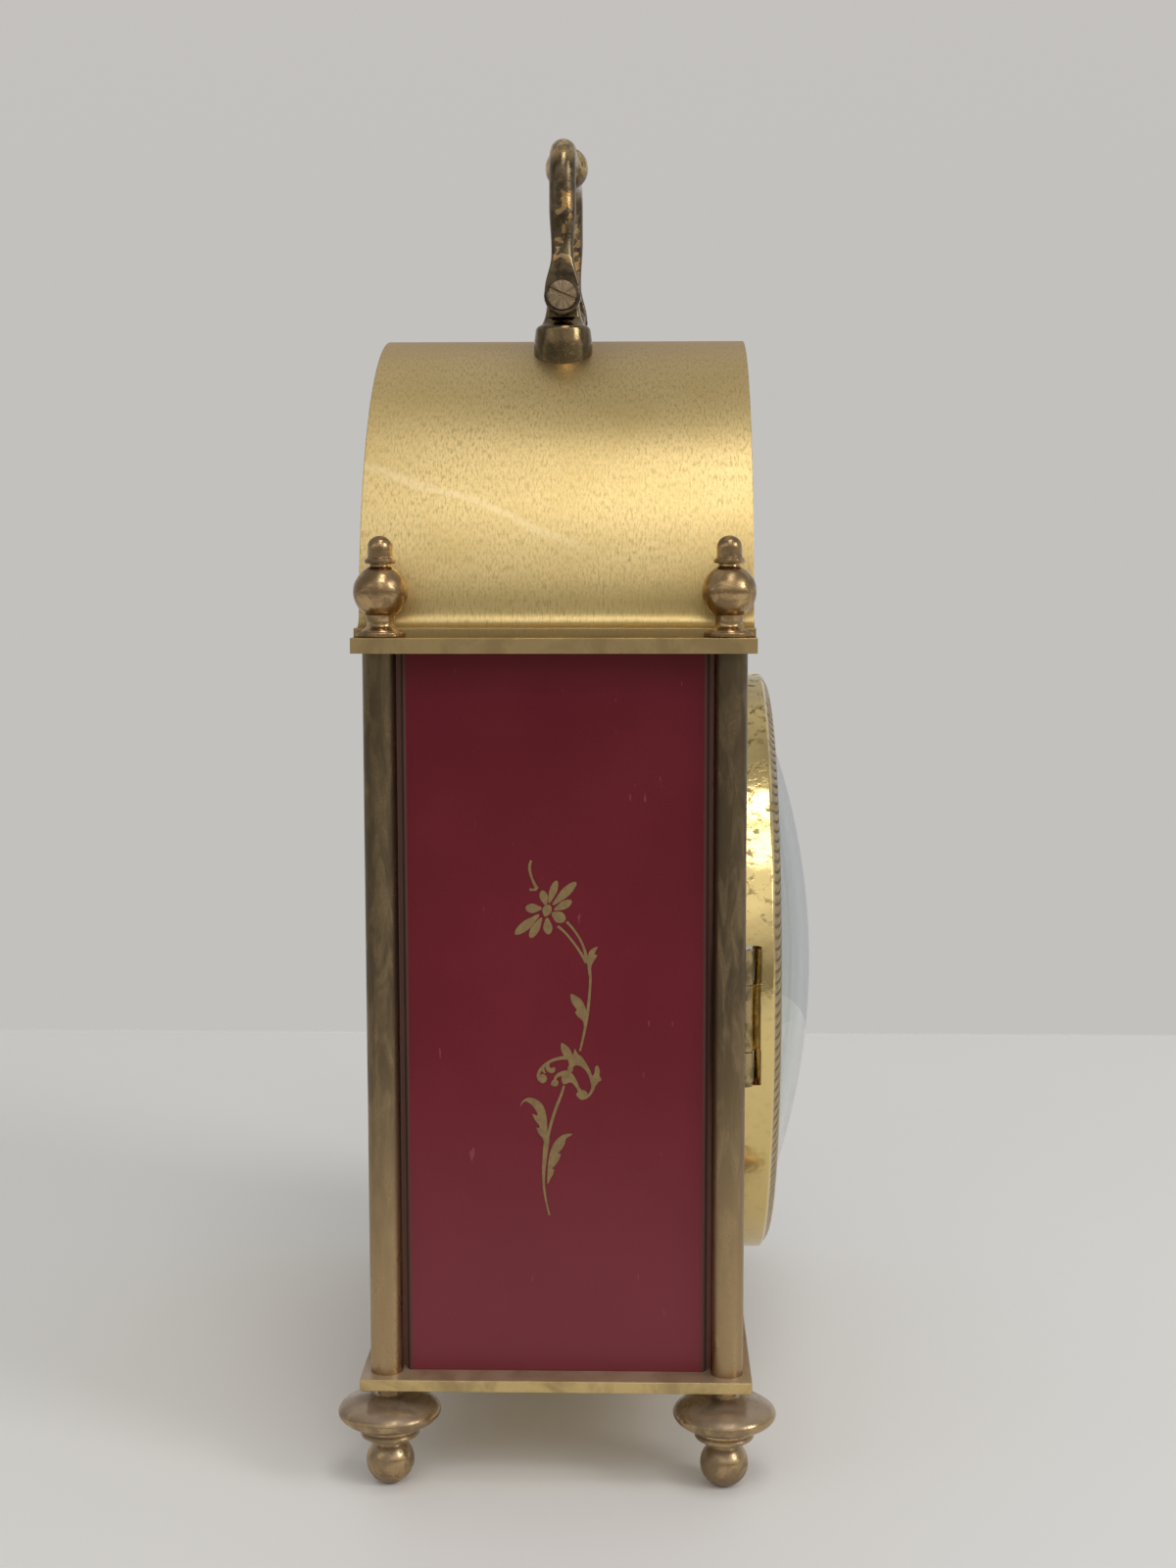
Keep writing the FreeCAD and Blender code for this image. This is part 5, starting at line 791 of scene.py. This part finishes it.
def blob(start, end, width, full=0.62):
    """A petal: a drop from start to end, widest at the given share of its length."""
    da, db = end[0] - start[0], end[1] - start[1]
    size = math.hypot(da, db)
    ua, ub = da / size, db / size
    out = []
    for k in range(28):
        t = 2 * math.pi * k / 28
        along = 0.5 - 0.5 * math.cos(t)
        bulge = math.sin(t) * (1 - 0.35 * math.cos(math.pi * (along - full + 0.5)) ** 2 * (1 if along < full else 0))
        out.append((start[0] + da * along - ub * bulge * width / 2, start[1] + db * along + ua * bulge * width / 2))
    return out


SPRAY = [
    stroke([(-8.87, 110.68), (-9.1, 109.94), (-9.11, 108.99), (-8.81, 107.8), (-8.35, 106.69), (-7.88, 105.77)],
           0.35, 0.5, 0.35, 0.6),
    stroke([(-7.95, 105.8), (-8.5, 105.62), (-9.15, 105.66)], 0.55, 0.35, 0.45),
    blob((-6.55, 101.0), (-5.85, 103.05), 1.6, 0.5),
    blob((-6.38, 102.96), (-7.0, 105.5), 1.45), blob((-5.87, 103.3), (-4.5, 107.2), 1.35),
    blob((-5.2, 103.0), (-1.2, 106.95), 1.6), blob((-4.95, 102.1), (-1.95, 103.7), 1.5),
    blob((-5.35, 101.6), (-3.1, 100.3), 2.0, 0.55), blob((-6.2, 100.8), (-5.95, 97.9), 1.6),
    blob((-7.1, 100.8), (-9.1, 97.3), 1.5), blob((-7.5, 101.35), (-11.7, 97.9), 1.65),
    blob((-7.1, 102.4), (-9.85, 102.4), 1.7),
    stroke([(-4.34, 99.33), (-3.03, 98.14), (-1.59, 96.38), (-0.35, 94.57), (0.56, 93.0)], 0.45, 0.35, 0.4, 0.6),
    stroke([(-2.79, 100.08), (-1.69, 98.83), (-0.58, 97.13), (0.22, 95.26), (0.69, 93.3)], 0.45, 0.35, 0.4, 0.6),
    [(0.25, 94.2), (0.75, 94.0), (1.05, 94.9), (1.7, 95.5), (2.5, 95.75), (2.2, 95.1), (1.95, 94.45), (2.4, 94.3),
     (2.1, 93.7), (1.6, 92.9), (1.35, 92.0), (1.2, 90.9), (0.9, 90.9), (0.85, 92.2), (0.4, 93.4)],
    stroke([(1.0, 92.3), (1.2, 91.0), (1.23, 89.97), (1.09, 87.57), (0.82, 84.83), (0.41, 82.08), (-0.07, 79.67),
            (-0.58, 77.53)], 0.55, 0.42, 0.42, 0.5, 0.42, 0.32),
    [(-2.18, 87.4), (-1.9, 87.5), (-1.3, 87.2), (-0.6, 86.75), (0.0, 86.0), (0.45, 84.9), (0.85, 84.4), (0.62, 82.9),
     (0.35, 81.6), (0.12, 81.9), (0.0, 82.7), (-0.5, 83.2), (-1.05, 83.75), (-1.4, 84.35), (-1.1, 84.75),
     (-1.5, 85.3), (-2.0, 86.1)],
    stroke([(-1.2, 75.9), (-2.57, 76.3), (-4.27, 76.2), (-5.96, 75.55), (-7.15, 74.5), (-7.8, 73.3), (-7.6, 72.4)],
           0.9, 0.6, 0.45, 0.55, 0.45),
    blob((-7.9, 72.5), (-6.3, 72.75), 1.6, 0.5),
    stroke([(-5.9, 75.5), (-6.2, 74.9), (-6.0, 74.3), (-5.3, 74.05), (-5.0, 74.6)], 0.35, 0.7, 0.9, 0.4),
    stroke([(-6.5, 75.2), (-7.0, 74.4), (-6.6, 73.6)], 0.3, 0.5, 0.3),
    blob((-3.75, 78.9), (-2.1, 75.9), 1.5, 0.45),
    [(-1.45, 77.9), (-0.95, 77.0), (-0.3, 76.5), (0.35, 75.6), (1.0, 74.5), (1.5, 73.2), (1.75, 71.8), (1.35, 71.9),
     (0.9, 73.2), (0.3, 74.2), (-0.5, 74.85), (-1.3, 75.0), (-1.75, 74.6), (-1.85, 74.0), (-2.3, 73.8),
     (-2.75, 74.35), (-2.45, 75.1), (-2.6, 76.0), (-2.15, 76.7), (-1.75, 76.9)],
    [(1.3, 72.2), (1.45, 73.0), (1.9, 73.6), (2.05, 74.7), (2.5, 74.95), (2.85, 74.0), (2.75, 73.3), (2.95, 72.9),
     (3.1, 72.4), (2.6, 72.1), (2.2, 71.5), (1.7, 71.2)],
    stroke([(1.6, 72.4), (1.72, 71.4), (1.41, 70.4), (0.73, 69.5), (-0.05, 69.1)], 0.9, 0.6, 0.4, 0.35),
    blob((-1.25, 69.9), (0.75, 69.7), 1.75, 0.5),
    stroke([(-4.95, 71.9), (-4.75, 72.9), (-3.9, 73.45), (-2.8, 73.35), (-1.8, 72.5), (-0.95, 71.1), (-0.5, 70.2)],
           0.35, 0.5, 0.75, 1.5, 1.0, 0.5, 0.9),
    [(-3.75, 72.9), (-2.9, 73.2), (-2.0, 72.7), (-1.5, 71.8), (-2.3, 72.0), (-3.0, 71.75), (-3.55, 71.75)],
    blob((-5.6, 71.6), (-4.35, 72.1), 1.25, 0.5),
    stroke([(-3.33, 71.37), (-3.95, 69.46), (-4.7, 67.55), (-5.38, 65.46), (-5.93, 63.37), (-6.41, 61.28)],
           0.4, 0.5, 0.5, 0.5),
    stroke([(-6.2, 62.2), (-6.45, 61.0), (-6.69, 58.84), (-6.91, 56.05), (-6.88, 53.6), (-6.55, 51.15),
            (-5.94, 48.35)], 0.7, 0.95, 0.7, 0.42, 0.36, 0.3),
    [(-10.91, 67.7), (-10.75, 68.3), (-10.2, 68.95), (-9.5, 69.25), (-8.5, 69.1), (-7.5, 68.5), (-6.8, 67.5),
     (-6.4, 66.0), (-6.3, 64.4), (-6.25, 62.8), (-6.3, 61.0), (-6.75, 61.2), (-7.1, 62.2), (-7.75, 62.9),
     (-8.1, 63.95), (-7.75, 63.85), (-7.6, 64.3), (-8.25, 65.1), (-8.75, 66.1), (-8.8, 66.4), (-8.1, 66.1),
     (-7.95, 66.4), (-8.45, 67.4), (-9.2, 68.2), (-9.9, 68.6), (-10.5, 68.3)],
    [(-1.9, 62.85), (-2.9, 62.9), (-3.9, 62.5), (-4.85, 61.6), (-5.55, 60.3), (-6.0, 58.7), (-6.2, 56.8),
     (-6.3, 54.4), (-6.15, 54.0), (-5.7, 55.0), (-5.3, 55.6), (-5.1, 56.5), (-5.45, 56.7), (-4.9, 57.3),
     (-4.25, 58.3), (-3.95, 59.3), (-4.35, 59.45), (-3.7, 60.3), (-3.2, 61.2), (-3.05, 62.0), (-2.5, 62.4)],
]


def add_pad(points, faces, low, high):
    """Adds a thin pad: two layers of one outline, closed at the side and on the high layer."""
    start, count = len(points), len(low)
    points += low + high
    faces.append(tuple(start + count + i for i in range(count)))
    faces += skin(2, count, start)


def make_spray(side):
    """Each outline becomes a thin pad that stands a little proud of the lacquer, the later ones higher."""
    points, faces = [], []
    for number, outline in enumerate(SPRAY):
        if len(outline) < 27:  # a shape given by its corners alone
            outline = curve_through(outline, 4, closed=True)
        low, high = [[(side * x, -a, b) for a, b in outline] for x in (61.6, 61.64 + 0.0012 * number)]
        add_pad(points, faces, low, high)
    return points, faces


for side, name in ((-1, "left"), (1, "right")):
    new_piece("gilt_spray_" + name, *make_spray(side), "case", gilt, "turned_brass", crease=30.0)


# Dial print: minute track, hour marks and Roman numerals as a thin layer of paint
def make_dial_print():
    points, faces = [], []
    layers = (DIAL_FRONT, DIAL_FRONT - 0.05)

    def annulus(inner, outer, count=180):
        start = len(points)
        for r, y in ((inner, layers[0]), (inner, layers[1]), (outer, layers[1]), (outer, layers[0])):
            points.extend((r * math.sin(2 * math.pi * i / count), y, DIAL_Z + r * math.cos(2 * math.pi * i / count))
                          for i in range(count))
        faces.extend(skin(4, count, start))

    def bar(angle, low, high, width, across=0.0, lean=0.0):
        """A short straight mark on the ray at this angle, shifted across it."""
        s, c = math.sin(angle), math.cos(angle)
        corners = []
        for r, k in ((low, -1), (high, -1), (high, 1), (low, 1)):
            off = across + k * width / 2 + lean * ((r - low) / (high - low) - 0.5)
            corners.append((r * s + off * c, r * c - off * s))
        add_pad(points, faces, *[[(x, y, DIAL_Z + z) for x, z in corners] for y in layers])

    annulus(44.9, 45.15)
    annulus(47.3, 47.55)
    for minute in range(60):
        bar(math.radians(6 * minute), 45.1, 47.35, 0.75 if minute % 5 == 0 else 0.28)
    inner, outer, gap = 33.6, 43.2, 0.45
    thick, thin = 1.15, 0.42
    letters = {"I": 1.5, "V": 4.6, "X": 4.6}
    numerals = ["XII", "I", "II", "III", "IV", "V", "VI", "VII", "VIII", "IX", "X", "XI"]
    for number, text in enumerate(numerals):
        a = math.radians(30 * number)
        cursor = -(sum(letters[ch] for ch in text) + gap * (len(text) - 1)) / 2
        for ch in text:
            wide = letters[ch]
            mid = cursor + wide / 2
            if ch == "I":
                bar(a, inner, outer, thick, mid)
            elif ch == "V":
                bar(a, inner, outer, thick, mid - 0.85, -1.9)
                bar(a, inner, outer, thin, mid + 1.0, 1.9)
            else:
                bar(a, inner, outer, thick, mid, -3.1)
                bar(a, inner, outer, thin, mid, 3.1)
            for r in (inner + 0.2, outer - 0.2):
                bar(a, r - 0.17, r + 0.17, wide + 0.25, mid)
            cursor += wide + gap
    return points, faces


new_piece("dial_print", *make_dial_print(), "case", print_black, "hand_black", crease=30.0)

# A thin brass collar round the winding hole, standing on the dial
profile = [(3.4, 0.0), (3.4, 0.35), (3.55, 0.5), (4.05, 0.5), (4.3, 0.3), (4.35, 0.0)]
angles = [2 * math.pi * i / 64 for i in range(64)]
points = [(r * math.cos(a), DIAL_FRONT - h, WINDING_Z + r * math.sin(a)) for a in angles for r, h in profile]
new_piece("winding_hole_collar", points, wrap(len(angles), len(profile)), "case", small_brass, "plate_brass",
          crease=40.0)

for obj in new_pieces:  # every closed mesh gets faces that look outwards
    work = bmesh.new()
    work.from_mesh(obj.data)
    bmesh.ops.remove_doubles(work, verts=work.verts, dist=1e-7)
    bmesh.ops.recalc_face_normals(work, faces=work.faces)
    work.to_mesh(obj.data)
    work.free()


# ---------------------------------------------------------------- floor, light, camera

def make_floor():
    mesh = bpy.data.meshes.new("table_top")
    reach = 2.2
    corners = [(-reach, -reach, 0), (reach, -reach, 0), (reach, reach, 0), (-reach, reach, 0)]
    mesh.from_pydata(corners, [], [(0, 1, 2, 3)])
    floor = bpy.data.objects.new("table_top", mesh)
    bpy.context.scene.collection.objects.link(floor)
    s = Shade("pale_table")
    x, y, _ = s.parts(s.place)
    colour = s.mix(s.noise(0.012, 3.0, 0.5), (0.90, 0.89, 0.86), (0.92, 0.91, 0.885))
    s.bump(s.noise(0.8, 2.0, 0.5), 0.05, 0.2)
    s.finish(colour, 0.55)
    # the table ends behind the clock, and fades out far from it
    shown = s.times(s.span(x, 289.0, 293.0, 1.0, 0.0), s.span(s.reach(x, y), 900.0, 2000.0, 1.0, 0.0))
    clear = s.add("ShaderNodeBsdfTransparent")
    mixed = s.fed(s.add("ShaderNodeMixShader"), shown, clear.outputs[0], s.surface.outputs[0])
    s.fed(s.tree.nodes["Material Output"], mixed.outputs[0])
    mesh.materials.append(s.material)


def make_world():
    """What the lens sees is a plain pale wall; what the metal sees is a room with a bright ceiling."""
    world = bpy.data.worlds.new("room")
    bpy.context.scene.world = world
    world.use_nodes = True
    world.node_tree.nodes.clear()
    w = Tree(world.node_tree)
    x, y, z = w.parts(w.add("ShaderNodeTexCoord").outputs["Generated"])

    def spread(value, *stops):
        """A colour that runs through the stops, each a value from -1 to 1 and a colour."""
        ramp = w.fed(w.add("ShaderNodeValToRGB"), w.calc("MULTIPLY_ADD", value, 0.5, 0.5))
        marks = ramp.color_ramp.elements
        while len(marks) < len(stops):
            marks.new(0.5)
        for mark, (place, colour) in zip(marks, stops):
            mark.position = place * 0.5 + 0.5
            mark.color = (*colour, 1.0)
        return ramp.outputs[0]

    def grey(level, warm=0.0):
        return (level * (1 + warm), level, level * (1 - warm))

    # degrees round the y axis, from level on the photograph's side through overhead; brightness; warmth
    levels = ((-90, 0.50, 0.0), (-8, 0.20, 0.05), (6, 0.26, 0.05), (17, 0.60, 0.03), (30, 1.08, 0.01),
              (44, 0.95, 0.0), (55, 0.36, 0.0), (66, 0.26, 0.0), (76, 0.42, 0.0), (91, 0.42, 0.0),
              (108, 0.44, 0.0), (131, 0.58, 0.0), (150, 0.42, 0.0), (178, 0.75, 0.0))
    turn = w.calc("DIVIDE", w.calc("ARCTAN2", z, w.times(x, -1.0)), math.pi)
    over = spread(turn, *[(angle / 180.0, grey(level, warm)) for angle, level, warm in levels])
    side = spread(y, (-1.0, grey(0.95)), (-0.5, grey(1.0)), (0.5, grey(0.95)), (1.0, grey(0.8)))
    room = w.fed(w.add("ShaderNodeBackground"), w.mix(1.0, over, side, "MULTIPLY"))
    wall = w.fed(w.add("ShaderNodeBackground"),
                 spread(z, (-1.0, (0.53, 0.53, 0.51)), (-0.10, (0.54, 0.533, 0.512)),
                        (0.25, (0.55, 0.532, 0.515)), (1.0, (0.56, 0.54, 0.52))))
    seen = w.add("ShaderNodeLightPath").outputs["Is Camera Ray"]
    pick = w.fed(w.add("ShaderNodeMixShader"), seen, room.outputs[0], wall.outputs[0])
    w.fed(w.add("ShaderNodeOutputWorld"), pick.outputs[0])


def add_light(name, place, aim, size, power, colour):
    """A rectangular lamp at a place, in metres, that faces its aim."""
    data = bpy.data.lights.new(name, "AREA")
    data.shape = "RECTANGLE"
    data.size, data.size_y = size
    data.energy = power
    data.color = colour
    obj = bpy.data.objects.new(name, data)
    bpy.context.scene.collection.objects.link(obj)
    obj.location = place
    obj.rotation_euler = (Vector(aim) - Vector(place)).to_track_quat("-Z", "Y").to_euler()


make_floor()
make_world()
add_light("ceiling_panel", (-0.66, -0.12, 0.95), (0.0, 0.0, 0.12), (0.36, 0.26), 1.02, (1.0, 0.98, 0.95))
add_light("ceiling_spot", (-0.32, -0.12, 0.95), (0.0, 0.0, 0.1), (0.24, 0.2), 0.72, (1.0, 0.98, 0.95))
add_light("far_window", (-0.7, -1.2, 0.9), (0.0, 0.0, 0.12), (0.5, 0.6), 5.5, (1.0, 0.99, 0.98))

# The camera that fits the photograph's edges: its turn, dip and roll in radians, and its place in metres
camera_data = bpy.data.cameras.new("photo_camera")
camera = bpy.data.objects.new("photo_camera", camera_data)
bpy.context.scene.collection.objects.link(camera)
turn, dip, roll = -0.02677, 0.10858, -0.00115
forward = Vector((math.cos(turn) * math.cos(dip), -math.sin(turn) * math.cos(dip), -math.sin(dip)))
right = Vector((-math.sin(turn), -math.cos(turn), 0.0))
up = right.cross(forward)
right_rolled = math.cos(roll) * right + math.sin(roll) * up
up_rolled = -math.sin(roll) * right + math.cos(roll) * up
basis = Matrix((right_rolled, up_rolled, -forward)).transposed()
camera.matrix_world = Matrix.Translation((-0.41892, -0.01043, 0.16280)) @ basis.to_4x4()
camera_data.sensor_fit = "VERTICAL"
camera_data.sensor_height = 36.0
camera_data.lens = 48.55
camera_data.clip_start = 0.01
bpy.context.scene.camera = camera
bpy.context.scene.view_settings.view_transform = "Standard"
